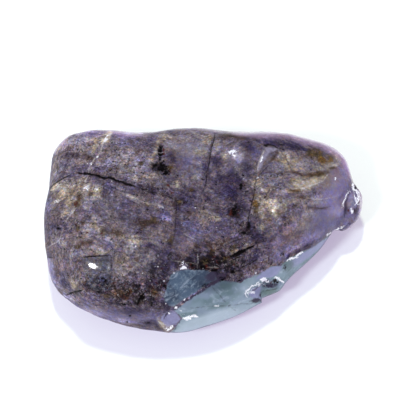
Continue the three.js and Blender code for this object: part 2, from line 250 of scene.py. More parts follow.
washes = {  # soft areas of colour, laid one group after another
    "stoneGrey": {
        "upperLeft": (100, 155, 60, 22, 0, 1.1),
        "left": (66, 205, 22, 30, 0, 1.1),
        "lowLeft": (105, 248, 55, 18, 0, 1.2),
        "lowMiddle": (126, 264, 26, 12, 0, 0.9),
        "zone": (295, 180, 45, 32, -8, 1.3),
        "zoneLow": (290, 218, 34, 12, -8, 1.0),
        "middle": (206, 215, 12, 9, 20, 1.0),
        "upperMiddle": (182, 145, 24, 9, 0, 1.0),
        "besideBlot": (150, 176, 26, 9, 0, 1.1),
        "farLeftLow": (72, 274, 16, 22, 0, 1.0),
        "besideScratch": (184, 245, 10, 12, 0, 0.8),
    },
    "greyPurple": {
        "topMiddle": (142, 141, 13, 6, 0, 1.1),
        "lowLeft": (100, 209, 12, 6, 0, 0.9),
        "belowWisps": (128, 209, 16, 8, 10, 1.0),
        "left": (52, 222, 5, 10, 0, 0.8),
        "pool": (176, 164, 8, 10, 0, 0.6),
        "rightOfMiddle": (222, 222, 12, 14, 0, 1.0),
        "besideFissure": (154, 217, 16, 7, 0, 0.9),
        "lowerFissure": (180, 228, 5, 9, 0, 0.8),
        "front": (66, 272, 8, 9, 0, 0.8),
        "right": (318, 191, 9, 4, -10, 0.8),
        "lowMiddle": (148, 250, 8, 7, 0, 0.7),
        "seam": (194, 294, 24, 3, -36, 1.3),
        "slope": (240, 240, 14, 9, -20, 0.9),
        "lowRight": (262, 252, 14, 5, -30, 0.8),
        "underTan": (106, 172, 12, 6, 5, 0.7),
        "scrap": (78, 168, 10, 4, 0, 0.7),
        "end": (290, 212, 8, 3, 0, 0.5),
    },
    # the lavender on the front band and the right slope is partly painted reflection of the pale table
    "lavender": {
        "frontBandEnd": (151, 316, 13, 4.6, 8, 1.2),
        "seam": (194, 294.5, 26, 2.6, -37, 1.0),
        "frontBandStart": (112, 304, 14, 6, 20, 0.6),
        "slopeLow": (330, 214, 12, 9, -30, 0.35),
        "frontDark": (113, 276, 12, 7, 0, 0.35),
        "leftLow": (76, 246, 14, 9, 0, 0.3),
        "topLeftInner": (112, 158, 10, 7, 0, 0.45),
        "centre": (190, 160, 11, 14, 0, 0.75),
        "besideVein": (109, 190, 6, 8, 0, 0.6),
        "topLeft": (124, 142, 8, 6, 0, 0.7),
        "topSecond": (84, 142, 8, 4, 0, 0.6),
        "pale": (136, 155, 7, 5, 0, 0.7),
        "besideFlake": (254, 150, 6, 9, 0, 0.9),
        "rightSlope": (328, 221, 17, 11, 25, 1.2),
        "rightSlopeLow": (308, 240, 20, 8, -35, 1.1),
        "rightUpper": (340, 191, 10, 10, 0, 0.9),
        "frontBand": (122, 314, 44, 7, 7, 0.95),
        "frontBandLeft": (90, 303, 14, 7, 20, 1.1),
        "knob": (351, 208, 9, 20, 0, 0.6),
        "scratchTint": (192, 229, 9, 10, 0, 1.0),
        "lowLeft": (108, 246, 8, 7, 0, 0.9),
        "leftEdge": (48, 205, 4, 32, 0, 0.7),
        "underSlope": (286, 249, 18, 6, -33, 0.8),
        "slopeEdge": (270, 262, 14, 3, -28, 0.5),
        "belowDash": (283, 196, 8, 5, 0, 0.7),
        "underTear": (332, 203, 10, 4, -10, 1.0),
        "belowWisp": (116, 206, 4, 7, 0, 0.7),
        "fissureSide": (164, 218, 8, 5, 0, 0.5),
        "lowFront": (66, 287, 7, 8, 0, 0.8),
    },
    # the lilac on the right end, the knob's foot and the top edge is partly painted reflection of the
    # pale table and room
    "lilac": {
        "rightEnd": (341, 177, 9, 17, 15, 1.2),
        "knobFoot": (351, 220, 8, 7, -30, 1.3),
        "rightMiddle": (332, 197, 14, 9, -10, 1.15),
        "rightSlope": (336, 210, 10, 8, 20, 1.1),
        "slopeFoot": (304, 243, 20, 5, -35, 1.0),
        "slopeEnd": (291, 251, 10, 3.4, -32, 0.8),
        "leftEdge": (54, 281, 5, 13, -35, 1.15),
        "corner": (61, 146, 7, 5, -45, 1.2),
        "topLeft": (92, 135, 14, 3, 0, 1.0),
        "topDip": (122, 134, 16, 4, 0, 1.1),
    },
    # pale lavender along the lower edges and the left facet is partly painted reflection;
    # highlightRound is a painted halo round the middle highlight
    "lavenderPale": {
        "pool": (179, 143, 6, 4, 0, 0.7),
        "poolRight": (195, 148, 13, 7, 0, 1.05),
        "cornerChip": (68, 297, 7, 4, 30, 1.1),
        "bandLeft": (94, 311, 16, 4, 16, 0.8),
        "bandRight": (124, 321, 14, 3, 8, 0.8),
        "greyStrip": (129, 165, 15, 9, 0, 1.0),
        "besideCross": (222, 190, 8, 8, 0, 0.4),
        "facetLeft": (50, 267, 3.6, 9, -14, 1.4),
        "lowerEdge": (60, 285, 12, 2.6, 52, 0.8),
        "slopeBand": (322, 234, 10, 3, -38, 0.5),
        "slopeEdge": (304, 241, 14, 2.4, -36, 0.8),
        "lightPool": (166, 220, 7, 4, 0, 0.5),
        "besideQuad": (94, 259, 9, 6, 0, 0.6),
        "smallOne": (221, 176, 2.6, 3, 0, 0.7),
        "highlightRound": (236, 158, 8, 6, 25, 0.5),
        "dash": (284.5, 192, 3.6, 1.5, 35, 0.9),
        "seamTwo": (206, 286.6, 2.6, 1.5, -35, 1.2),
        "seamFour": (194.8, 293.2, 2.4, 1.5, -35, 1.2),
        "seamFive": (189, 298, 2, 1.4, -35, 1.1),
        "seamSix": (181, 304.5, 2.2, 1.5, -35, 1.1),
        "seamSeven": (171.5, 310.5, 2.6, 1.6, -35, 1.1),
        "smallBar": (266, 242, 3, 1.3, -30, 0.8),
        "knobFoot": (347, 223, 8, 4, -25, 0.6),
        "knobInner": (350, 200, 2.6, 8, 12, 1.2),
        "knobSide": (357.5, 212, 2.4, 7, -5, 1.0),
        "slopeTop": (337, 211, 6, 5, 30, 0.9),
        "streak": (336, 196, 7, 2, -20, 0.6),
        "topPool": (222, 149, 9, 6, 0, 0.4),
        "topLow": (198, 163, 12, 5, 0, 0.5),
        "edge": (55, 280, 4, 8, -35, 1.2),
        "knob": (352, 201, 6, 14, 0, 0.75),
        "leftBelow": (72, 209, 5, 4, 0, 0.5),
    },
    "mauve": {
        "rightEnd": (336, 172, 9, 8, 15, 0.7),
        "topRight": (250, 204, 4, 9, 8, 0.8),
        "strand": (81, 213, 3, 8, 10, 0.9),
        "corner": (63, 146, 7, 4, -40, 0.8),
        "pool": (287, 180, 3.4, 5, 0, 0.7),
        "nearLine": (54, 246, 8, 4, 10, 0.6),
        "lowLeft": (64, 266, 8, 6, 0, 0.7),
        "lowBand": (84, 298, 8, 4, 15, 0.8),
        "brownPool": (140, 282, 10, 6, 0, 0.6),
        "underBand": (228, 275, 5, 4, 0, 0.9),
        "middle": (305, 167, 8, 3, 0, 0.6),
        "lowEnd": (277, 243, 10, 5, -30, 0.9),
        "lowEndTwo": (290, 228, 10, 5, -15, 0.8),
        "flakeLow": (263, 163, 3, 6, 30, 0.5),
        "lowMiddle": (183, 246, 9, 10, 0, 0.6),
        "crack": (92, 226, 6, 4, 0, 0.5),
    },
    "lightGrey": {
        "topLeft": (100, 142, 13, 6, 0, 1.0),
        "topRun": (200, 145, 22, 9, 0, 1.5),
        "upperFour": (131, 167, 17, 9, 0, 1.2),
        "leftMiddle": (96, 206, 12, 8, 0, 0.6),
        "leftLow": (94, 228, 15, 10, 0, 1.15),
        "leftUpper": (58, 170, 12, 9, -30, 0.9),
        "underTan": (90, 200, 14, 10, 0, 1.0),
        "lowEnd": (305, 226, 12, 6, -15, 0.7),
        "besidePool": (200, 172, 10, 8, 0, 0.8),
        "upperRight": (238, 150, 8, 6, 0, 0.8),
        "topEdge": (76, 140, 10, 5, -20, 0.9),
        "upperOne": (126, 162, 12, 9, 0, 1.2),
        "upperTwo": (134, 178, 9, 5, 0, 0.9),
        "upperThree": (150, 166, 5, 3, 0, 0.8),
        "besideBlot": (184, 141, 14, 4, 0, 0.8),
        "leftOne": (60, 240, 9, 5, 0, 0.8),
        "leftTwo": (78, 252, 9, 6, 0, 0.9),
        "leftThree": (112, 237, 8, 6, 0, 0.7),
        "leftFour": (106, 251, 9, 4, -5, 1.0),
        "leftFive": (80, 276, 8, 7, 0, 0.9),
        "leftSix": (128, 248, 8, 7, 0, 0.8),
        "leftSeven": (120, 276, 8, 6, 0, 0.6),
        "zoneOne": (284, 164, 12, 8, 0, 1.0),
        "zoneTwo": (272, 179, 9, 6, 0, 1.0),
        "zoneThree": (262, 191, 6, 4, 0, 1.0),
        "zoneFour": (308, 214, 10, 5, 0, 0.9),
        "zoneFive": (293, 202, 6, 4, 0, 0.7),
        "zoneSix": (318, 202, 10, 3, -5, 0.9),
        "middle": (208, 213, 8, 5, 12, 1.0),
        "flakeSide": (262, 158, 4, 6, 30, 0.6),
        "farLeft": (54, 196, 5, 8, 0, 0.7),
        "cornerRight": (335, 160, 5, 6, 0, 0.9),
        "bottom": (272, 218, 10, 5, 0, 0.7),
        "besideTear": (332, 186, 6, 4, 0, 0.7),
    },
    "tan": {
        "leftMain": (66, 190, 12, 10, -8, 1.3),
        "leftLower": (69, 201, 9, 6, 15, 1.1),
        "leftLowest": (68, 213, 6, 4, 0, 0.7),
        "leftRight": (80, 182, 6, 4, -20, 1.0),
        "leftCorner": (60, 149, 5, 3, -40, 0.7),
        "strand": (95, 146, 2.4, 9, 14, 0.9),
        "strandTop": (107, 138, 4, 5, 30, 1.0),
        "aboveBlot": (164, 137, 3, 6, 10, 0.9),
        "besideBlot": (155, 153, 2.2, 13, 18, 1.1),
        "underBlot": (150, 176, 9, 3, 0, 0.6),
        "creamCentre": (179, 182, 8, 4, 5, 0.8),
        "upperOne": (206, 140, 5, 4, 0, 1.1),
        "upperTwo": (216, 146, 5, 7, 15, 0.8),
        "upperThree": (201, 151, 8, 4, 10, 1.0),
        "leftOfHighlight": (224, 155, 4.5, 4, 0, 0.8),
        "zoneUpper": (292, 164, 14, 8, 10, 1.0),
        "zoneRight": (318, 170, 12, 5, -5, 0.9),
        "zoneLower": (306, 182, 18, 6, -14, 1.3),
        "zoneLeft": (260, 183, 7, 5, 0, 0.8),
        "zoneEnd": (326, 163, 8, 6, 0, 0.9),
        "zoneBelow": (262, 202, 8, 9, 0, 1.2),
        "aroundSecond": (276, 209, 9, 8, 0, 1.1),
        "underSecond": (262, 215, 8, 4, 0, 0.7),
        "wedgeLeft": (96, 227, 8, 4, 34, 1.1),
        "greenish": (102, 253, 8, 2.4, -10, 0.7),
        "middleLow": (130, 238, 11, 5, 10, 0.9),
        "lowLeft": (124, 263, 9, 5, 0, 0.8),
        "lowLeftTwo": (78, 284, 5, 5, 0, 0.6),
        "besideFour": (120, 244, 7, 5, 0, 0.6),
        "lowRight": (240, 249, 14, 3, -28, 0.7),
        "foldRight": (232, 261, 12, 2.4, -28, 0.7),
        "middle": (212, 217.5, 8, 2.4, 12, 0.9),
        "low": (262, 226, 6, 4, 0, 0.6),
    },
    "cream": {
        "wispOne": (131, 196.6, 13, 1.5, 22, 1.0),
        "wispTwo": (152, 204.3, 12, 1.4, 14, 0.9),
        "leftOne": (57, 186, 5, 4, 0, 0.9),
        "leftTwo": (63, 192, 5, 4, 0, 1.0),
        "leftThree": (86.5, 188.5, 5, 4, -30, 1.2),
        "leftFour": (96, 190, 4.4, 6, 0, 1.3),
        "leftFive": (59, 200, 6, 2, -20, 0.9),
        "leftSix": (71, 186, 4, 4, 0, 0.8),
        "strandTop": (106.5, 138.5, 2.6, 6, 34, 1.5),
        "centre": (179, 182, 5, 2.6, 5, 0.8),
        "tear": (306, 184, 13, 3.6, -16, 1.1),
        "tearLow": (304, 188.3, 8, 2, -16, 1.2),
        "wedge": (212, 218, 7, 2, 16, 0.7),
        "aroundSecond": (274, 206, 5, 6, 0, 1.0),
        "underFlake": (265, 190, 6, 2.4, 0, 0.9),
        "frontLeft": (74, 284, 2.8, 4.4, 0, 0.8),
        "cornerTip": (162, 324, 2.4, 6, -38, 1.1),
        "cornerV": (168, 326.5, 4, 3, 0, 0.9),
        "rightHook": (335, 165.5, 5, 1.6, -20, 0.9),
        "leftOfHighlight": (227, 156, 4, 3, 0, 0.6),
        "fourLight": (131, 242, 4, 5, 0, 0.8),
        "wedgeLeft": (98, 229, 5, 1.8, 34, 0.8),
        "zone": (286, 158, 4, 6, 0, 0.7),
    },
    "brown": {
        "topUnder": (236, 138, 24, 3, 1, 1.0),
        "shoulder": (312, 153, 11, 4.4, 14, 1.3),
        "underShoulder": (316, 173.5, 12, 2.4, -8, 1.1),
        "left": (85, 158, 11, 3, 5, 0.8),
        "leftTwo": (74, 178, 3, 3, 0, 0.6),
        "leftThree": (91, 193.5, 2, 2, 0, 0.9),
        "leftFour": (85, 243, 6, 3.4, 0, 0.9),
        "leftFive": (62, 225, 8, 3, 0, 0.6),
        "leftSix": (84, 220, 2.4, 7, 12, 0.8),
        "leftSeven": (79, 197, 3, 4, 10, 0.8),
        "belowWedge": (112, 232, 12, 3, 3, 1.0),
        "besideCross": (211, 146, 1.6, 8, 10, 0.9),
        "low": (270, 220, 7, 2, 0, 0.8),
        "lowTwo": (256, 219, 5, 4, 0, 0.6),
        "middle": (148, 223, 12, 5, 0, 1.0),
        "middleTwo": (140, 230, 4, 4, 0, 0.8),
        "fold": (206, 245, 10, 6, 0, 0.8),
        "foldTwo": (222, 243, 14, 5, -20, 0.7),
        "front": (118, 294, 8, 7, 0, 1.0),
        "frontTwo": (152, 295, 7, 5, 0, 0.9),
        "frontThree": (132, 296, 9, 6, 0, 1.0),
        "flakeRight": (273, 158, 2.4, 7, 38, 0.8),
        "rightOne": (303, 197.5, 3.6, 1.6, 0, 0.9),
        "rightTwo": (292, 206, 5, 1.6, -15, 0.9),
        "cross": (294, 172.5, 13, 1.6, 5, 0.8),
        "crossDown": (288, 163, 1.6, 9, -25, 0.6),
        "quadLeft": (84, 266, 1.6, 6, 0, 0.8),
        "quadUnder": (87, 279, 2.2, 4.4, 0, 0.8),
        "lowEdge": (255, 266, 10, 4, -25, 0.8),
        "dashes": (192, 190, 9, 2, 0, 0.9),
        "besideTwo": (204, 209, 3, 2, 0, 0.7),
        "hair": (320, 208.5, 12, 1.4, 2, 0.7),
        "crackEnd": (176, 203, 8, 5, 0, 1.0),
        "belowCrack": (150, 190, 10, 2.4, 10, 0.8),
        "leftEight": (99, 175, 12, 2.4, 8, 0.8),
        "middleFour": (188, 215, 6, 4, 0, 0.6),
        "lowBrown": (270, 242, 5, 3, -30, 0.5),
        "besideFissure": (170, 241, 3, 5, 0, 0.7),
    },
    "slate": {
        "upperLeft": (70, 155, 9, 4, 0, 0.8),
        "besideFlake": (249, 146, 8, 8, 5, 0.9),
        "belowFlake": (246, 169, 6, 9, 0, 0.8),
        "aboveFlake": (276, 142.5, 14, 3.4, 4, 1.3),
        "aboveFlakeRight": (294, 147, 12, 4, 8, 1.1),
        "crossFoot": (207, 172, 5, 13, 5, 1.0),
        "crossRight": (216, 163, 6, 8, 0, 0.9),
        "poolLeft": (172, 156, 4.5, 7, 0, 0.9),
        "valley": (229, 184, 14, 16, 0, 1.3),
        "valleyLow": (237, 207, 9, 14, 8, 1.3),
        "valleyFoot": (248, 229, 8, 8, 0, 1.2),
        "valleyLeft": (216, 191, 11, 11, 0, 0.8),
        "valleyEnd": (258, 239, 9, 5, 0, 1.1),
        "underCrack": (146, 189, 18, 4, 12, 0.9),
        "underCrackEnd": (184, 200, 14, 6, 5, 1.1),
        "fissure": (177, 213, 4, 12, 4, 0.7),
        "fissureFoot": (164, 256, 8, 8, 0, 1.0),
        "fissureRow": (160, 267, 16, 5, 0, 1.1),
        "underRow": (157, 281, 10, 10, 0, 1.1),
        "quad": (106, 266, 8, 8, 0, 0.9),
        "quadLow": (101, 283, 14, 7, 0, 1.2),
        "leftPool": (70, 233, 5, 3.4, 0, 0.9),
        "leftPoolTwo": (58, 227, 8, 3, 0, 0.9),
        "lowPurpleTwo": (284, 217, 4, 3, 0, 0.8),
        "border": (301, 249.5, 15, 2.6, -30, 1.0),
        "bandMiddle": (132, 311, 18, 4, 4, 1.0),
        "bandLow": (151, 323.5, 9, 3.4, 4, 0.9),
        "belt": (123, 206, 3, 5, 0, 0.6),
        "knobLine": (340.5, 197, 2.2, 8, 38, 0.55),
        "frontRight": (160, 304, 9, 7, 0, 1.0),
        "frontMiddle": (112, 302, 10, 3.4, 0, 0.9),
        "micaMain": (205, 262, 20, 9, -4, 1.2),
        "micaRight": (240, 266, 18, 5, -28, 0.9),
        "micaLow": (222, 277, 12, 6, -20, 1.2),
        "crossLeft": (196, 192, 10, 4, 0, 0.6),
        "lowFissure": (172, 260, 14, 9, 0, 1.1),
        "frontEdge": (64, 286, 8, 8, 0, 0.7),
        "scrap": (150, 231, 8, 5, 0, 0.5),
        "lowMiddle": (162, 256, 13, 10, 0, 1.1),
    },
    "indigo": {
        "aboveFlake": (276, 142, 14, 3.6, 5, 1.3),
        "aboveFlakeRight": (296, 147, 12, 4, 10, 1.2),
        "valley": (231, 186, 8, 12, 0, 0.8),
        "besideFlake": (250, 147, 6, 6, 0, 0.6),
        "quadLow": (103, 282, 10, 6, 0, 0.8),
        "knobLine": (345.5, 209, 2.0, 7, 8, 0.7),
        "cornerDot": (336.5, 231.5, 2, 1.6, 0, 1.0),
        "border": (302, 249, 14, 2, -30, 0.8),
        "slope": (322, 222, 9, 3.4, -38, 0.35),
        "navyEdge": (285, 144, 22, 4, 8, 1.0),
        "fissure": (177, 214, 2.4, 8, 4, 0.4),
    },
    "night": {
        "mica": (208, 262, 15, 10, -8, 1.25),
        "micaEnd": (178, 262, 8, 5, 0, 0.8),
        "micaLeft": (196, 256, 9, 8, 0, 0.8),
        "micaRight": (222, 268, 10, 6, -20, 0.8),
        "frontOne": (138, 300, 8, 5, 0, 1.1),
        "frontTwo": (150, 296, 7, 9, 10, 0.9),
        "frontThree": (102, 288, 9, 5, 0, 0.8),
        "valley": (234, 213, 4.4, 6.5, 18, 1.2),
        "valleyTwo": (247, 229, 4, 5, 10, 0.9),
        "blotSide": (160, 168, 9, 6, 10, 0.9),
        "fissure": (152, 272, 5, 4, 0, 0.8),
        "crackEnd": (179, 201, 5, 4, 0, 0.8),
        "besideTeal": (218, 279, 9, 4, -25, 0.9),
    },
    "olive": {
        "shoulder": (318, 154.5, 8, 4, 12, 1.2),
        "shoulderRight": (330, 158, 5, 3.4, 0, 1.0),
        "leftOne": (78, 204, 2.2, 3.4, 10, 1.0),
        "leftTwo": (75, 213, 1.8, 2.4, 0, 1.0),
        "leftThree": (77, 229, 3, 3.5, 0, 1.0),
        "farLeft": (56, 168, 4, 3, 0, 0.6),
        "besideBlot": (142, 163, 4, 2, -20, 1.0),
        "besideBlotTwo": (171, 167, 3, 3, 0, 0.9),
        "micaOne": (205, 261, 4, 3, 0, 1.0),
        "micaTwo": (225, 259, 5, 2, -25, 0.9),
        "micaThree": (236, 246, 8, 2, -28, 0.8),
        "micaFour": (214, 252, 5, 3, 0, 0.8),
        "frontOne": (132, 291, 5, 3, 0, 0.9),
        "frontTwo": (98, 278, 4, 3, 0, 0.6),
        "frontThree": (155, 294, 5, 4, 0, 0.9),
        "frontFour": (104, 297, 5, 3, 0, 0.9),
        "underShoulder": (318, 175, 9, 2, -8, 1.0),
        "rightSpot": (332, 168, 3.4, 1.8, 0, 1.0),
        "middle": (172, 239, 3, 3, 0, 0.7),
        "lowMiddle": (152, 221, 6, 3, -15, 0.9),
        "underWisp": (150, 205.5, 6, 1.6, 12, 0.8),
        "crackEnd": (178, 202, 4, 3, 0, 0.8),
        "wispEnd": (194, 208, 4, 2, 0, 0.6),
        "zone": (296, 190.5, 6, 2, 0, 1.0),
        "zoneLeft": (255.5, 204, 3, 9, 0, 0.9),
        "middleDash": (190, 190, 4, 2, 0, 0.7),
        "second": (272, 219.5, 6, 2, 0, 0.9),
        "leftFour": (78, 247, 3, 1.8, 0, 0.9),
    },
    "orange": {
        "shoulder": (322, 160, 4.5, 3, 0, 1.3),
        "shoulderSide": (329, 161, 4, 2.4, 0, 0.7),
        "edgeSpot": (254.5, 195, 1.7, 2.6, 0, 1.0),
        "edgeSpotTwo": (256, 203.5, 3, 2.8, 0, 0.9),
        "underTear": (296, 190.5, 3, 1.5, 0, 0.9),
        "leftTwo": (80.5, 186, 1.5, 2.2, 0, 0.7),
        "leftThree": (70, 192, 2.4, 1.6, 0, 0.6),
        "front": (121, 291, 3, 4, 0, 0.35),
    },
}
rustPatches = {
    "inCluster": (278.2, 281.2, 1.8, 1.3, 0, 1.0),
    "blotFringe": (163.6, 152, 1.8, 8, -4, 0.8),
    "blotFoot": (166, 172, 7, 5, 10, 0.7),
    "veinRust": (76, 204, 2.3, 3.4, 10, 1.1),
    "dotOne": (86.5, 232.5, 1.7, 1.4, 0, 1.1),
    "dotTwo": (101.5, 233.5, 1.7, 1.3, 0, 1.0),
    "dotThree": (130.5, 267, 2.4, 1.6, 0, 1.2),
    "dotFour": (173, 193, 2.2, 1.4, 0, 1.0),
    "dotFive": (168, 185, 2.2, 1.4, 0, 0.9),
    "pair": (192, 189.5, 6, 1.2, 0, 0.6),
    "hole": (276, 281, 2.6, 1.9, 0, 1.3),
    "holeLeft": (271, 283, 3.2, 1.6, -10, 0.9),
    "valley": (232, 213, 3.5, 5, 20, 0.9),
    "valleyRight": (247, 226, 2.5, 3.5, 0, 0.7),
    "micaRedOne": (206, 266.5, 2.2, 1.6, 0, 1.1),
    "micaRedTwo": (216, 268.5, 2.6, 1.4, 0, 1.0),
    "micaRedThree": (191, 265, 2, 2, 0, 0.9),
    "micaRedFour": (262, 262, 2.2, 1.6, 0, 0.9),
    "micaRedFive": (224, 275, 1.8, 2, 0, 0.9),
    "micaRedSix": (214, 257, 3, 1.6, 0, 0.8),
    "knobRust": (347.4, 210.5, 1.3, 2.4, 0, 0.75),
    "knobPink": (359.3, 209, 1.3, 3, 0, 0.8),
    "foldBrown": (196, 247, 8, 4, 10, 0.4),
    "slope": (62, 172, 2.2, 1.6, 0, 0.8),
    "leftRed": (75, 158, 5, 2, 15, 0.5),
    "leftRedTwo": (103, 156, 4, 1.6, -10, 0.6),
    "leftRedThree": (88, 162, 4, 2, 0, 0.6),
    "lowLeft": (95, 305, 5, 2, 5, 0.5),
}
darkPatches = {
    "inCluster": (275.6, 282, 3.8, 1.8, -20, 1.3),
    "slit": (239.5, 252.6, 8.0, 1.7, -24, 2.0),
    "slitEnd": (249, 247.8, 6.0, 1.2, -24, 1.3),
    "blotStem": (160.4, 152, 2.8, 7, -4, 1.05),
    "blotNeck": (161.5, 159.5, 2.8, 4, -10, 1.15),
    "blotTop": (160.2, 147.5, 2.8, 3.2, 0, 1.0),
    "blotFoot": (163, 168, 5.4, 4.8, 20, 1.25),
    "blotRight": (166.5, 172, 3.6, 2.6, 15, 1.3),
    "blotUnder": (164, 173.5, 5, 2.2, 0, 0.8),
    "blotLeft": (155, 165, 2.2, 1.8, 0, 1.2),
    "blotLow": (152.5, 168, 1.6, 1.4, 0, 0.8),
    "blotDot": (177, 175.5, 2.2, 1.6, 0, 1.0),
    "aboveFlake": (266, 145.5, 3.4, 1.8, 0, 0.9),
    "aboveFlakeRight": (281, 145, 4, 1.8, 6, 0.7),
    "valleyOne": (243.3, 175, 1.9, 1.5, 0, 1.2),
    "valleyTwo": (241, 186, 1.8, 4.5, 0, 1.2),
    "valleyThree": (234.5, 211, 3.6, 6.5, 18, 1.0),
    "valleyFour": (248.5, 225.5, 2.6, 4.5, 10, 1.05),
    "valleyFive": (244.5, 233.5, 5, 3, -15, 0.95),
    "valleySix": (236, 201, 2.2, 7, 8, 0.6),
    "leftOne": (58.5, 228.5, 3.5, 1.6, 0, 0.95),
    "leftTwo": (76, 232, 3, 2.5, 0, 0.6),
    "micaOne": (203, 267, 2.8, 2.2, 0, 1.2),
    "micaTwo": (207, 261, 3.5, 2.4, 0, 1.1),
    "micaThree": (214, 270, 5, 1.4, 0, 1.2),
    "micaFour": (222, 279, 3.5, 2.4, -30, 1.2),
    "micaFive": (233, 272, 2.5, 1.8, 0, 1.1),
    "micaSix": (192, 265.5, 1.8, 2, 0, 1.0),
    "micaSeven": (213, 252, 3, 4, 0, 0.7),
    "micaEight": (219, 262, 3, 2, 0, 0.8),
    "micaNine": (240, 281, 4, 2, -10, 0.9),
    "seamOne": (205, 286, 5, 3, -30, 0.8),
    "frontOne": (142, 297, 3.4, 4, 20, 1.0),
    "frontTwo": (104, 280, 5, 3.4, 20, 0.8),
    "frontThree": (98, 293, 4, 2.4, 0, 0.8),
    "frontFour": (153, 299, 2, 3, 0, 0.8),
    "frontFive": (122, 304, 8, 1.8, 5, 0.8),
    "frontSix": (151, 274, 5, 4, 0, 0.55),
    "frontSeven": (139, 285, 4, 2.4, 0, 0.7),
    "frontEight": (165, 288, 2.4, 5, 0, 0.85),
    "frontNine": (114, 287, 3, 2, 0, 0.8),
    "lowSpotOne": (130, 316, 1.8, 1.4, 0, 0.9),
    "lowSpotTwo": (127, 322, 1.6, 1.3, 0, 0.8),
    "lowSpotThree": (147, 322.5, 6, 1.6, 3, 0.7),
    "cornerDot": (337, 232.3, 1.6, 1.4, 0, 1.2),
    "knobSlate": (354.6, 188.5, 1.4, 3, 10, 0.8),
    "knobHole": (353.6, 210.5, 1.1, 2.4, 0, 0.8),
    "topBrown": (231, 136.5, 4, 1.6, 0, 0.8),
    "fissureFoot": (170, 254, 2.4, 5, 10, 0.7),
    "fissureDark": (162, 262, 4, 5, 0, 0.5),
    "crackRoot": (68, 155, 5, 3, 30, 0.45),
    "leftDark": (77, 160, 6, 3, 10, 0.4),
    "holeDark": (276, 281.5, 3.2, 2.2, 0, 1.3),
    "holeLip": (267, 284, 4, 1.4, -10, 0.5),
    "greenDark": (286, 268, 4, 4, -30, 0.6),
    # painted shadow in the notch's step
    "stepDark": (260.5, 297, 1.2, 4, 0, 0.8),
    "foldDark": (168, 205, 3, 2, 0, 0.5),
    "spotOne": (188, 212, 2.2, 2, 0, 0.7),
    "spotTwo": (196, 206.5, 1.6, 1.4, 0, 0.9),
    "spotThree": (230, 248, 4, 2, -25, 0.6),
    "spotFour": (244, 262, 5, 1.6, -28, 0.7),
}
rimReflectionPatches = {  # painted reflection: where the far edge catches the light of the bright room
    "left": (92, 132, 30, 5, 0, 0.8),
    "topLeft": (61, 143, 11, 6, -45, 1.0),
    "dip": (128, 133, 17, 7, 0, 1.1),
    "dipEnd": (150, 130, 16, 3.4, -4, 0.8),
    "centre": (205, 130, 44, 6, 2, 0.55),
    "centreRight": (243, 133, 13, 5, 4, 1.2),
    "right": (272, 137, 28, 9, 5, 1.7),
    "shoulder": (306, 142, 24, 11, 17, 1.6),
    "shoulderEnd": (332, 150, 15, 11, 32, 2.6),
    "end": (344, 163, 13, 20, 28, 1.7),
    "knobEdge": (360.5, 200, 4.5, 16, 0, 1.3),
    "knobUnder": (352, 226, 8, 3, -30, 0.8),
    "blunt": (44, 220, 6, 50, 0, 0.2),
    "chipEdge": (46, 268, 5, 16, -14, 0.6),
    "bottom": (110, 322, 50, 8, 9, 0.2),
}
calmPatches = {  # how much smoother, above 0, or grittier, below 0, the stone is than elsewhere
    "centre": (186, 156, 17, 19, 0, 0.55),
    "rightEnd": (339, 182, 15, 24, 0, 0.78),
    "rightSlope": (326, 222, 28, 17, -35, 0.85),
    "frontBand": (122, 315, 48, 8, 7, 0.75),
    "besideFlake": (251, 150, 8, 12, 0, 0.35),
    "flake": (267, 157, 7, 11, 25, 0.5),
    "lowMiddle": (182, 243, 11, 11, 0, 0.35),
    "lowRight": (278, 243, 18, 8, -30, 0.3),
    "zone": (296, 162, 16, 10, 0, 0.3),
    "tear": (308, 183, 18, 7, -14, 0.35),
    "highlight": (233, 155, 12, 9, 0, 0.3),
    "leftFacet": (50, 268, 5, 14, -18, 0.6),
    "quad": (97, 265, 14, 8, 0, 0.3),
    "mica": (222, 262, 26, 13, -10, -0.5),
    "front": (130, 290, 44, 16, 3, -0.45),
    "upperLeft": (100, 166, 50, 14, 8, -0.2),
    "valley": (238, 216, 12, 22, 0, -0.25),
    "left": (70, 230, 20, 14, 0, -0.15),
    "underCrack": (162, 192, 26, 8, 12, -0.2),
}
micaPatches = {
    "rightMain": (226, 265, 28, 13, -15, 1.0),
    "rightUpper": (236, 250, 22, 7, -25, 0.75),
    "rightLow": (240, 275, 16, 7, -20, 0.7),
    "frontMain": (130, 288, 42, 19, 3, 0.85),
    "frontLeft": (100, 284, 20, 11, 10, 0.7),
    "frontMiddle": (160, 276, 16, 14, 0, 0.7),
    "centre": (200, 262, 16, 8, 0, 0.8),
    "valley": (240, 215, 9, 24, 5, 0.55),
    "upperLeft": (108, 160, 42, 18, 8, 0.4),
    "crackSide": (165, 190, 24, 6, 12, 0.5),
    "left": (60, 228, 14, 8, 0, 0.45),
    "lowRight": (285, 245, 25, 8, -35, 0.25),
    "right": (300, 210, 18, 9, 0, 0.3),
    "middle": (185, 215, 16, 10, 0, 0.3),
}
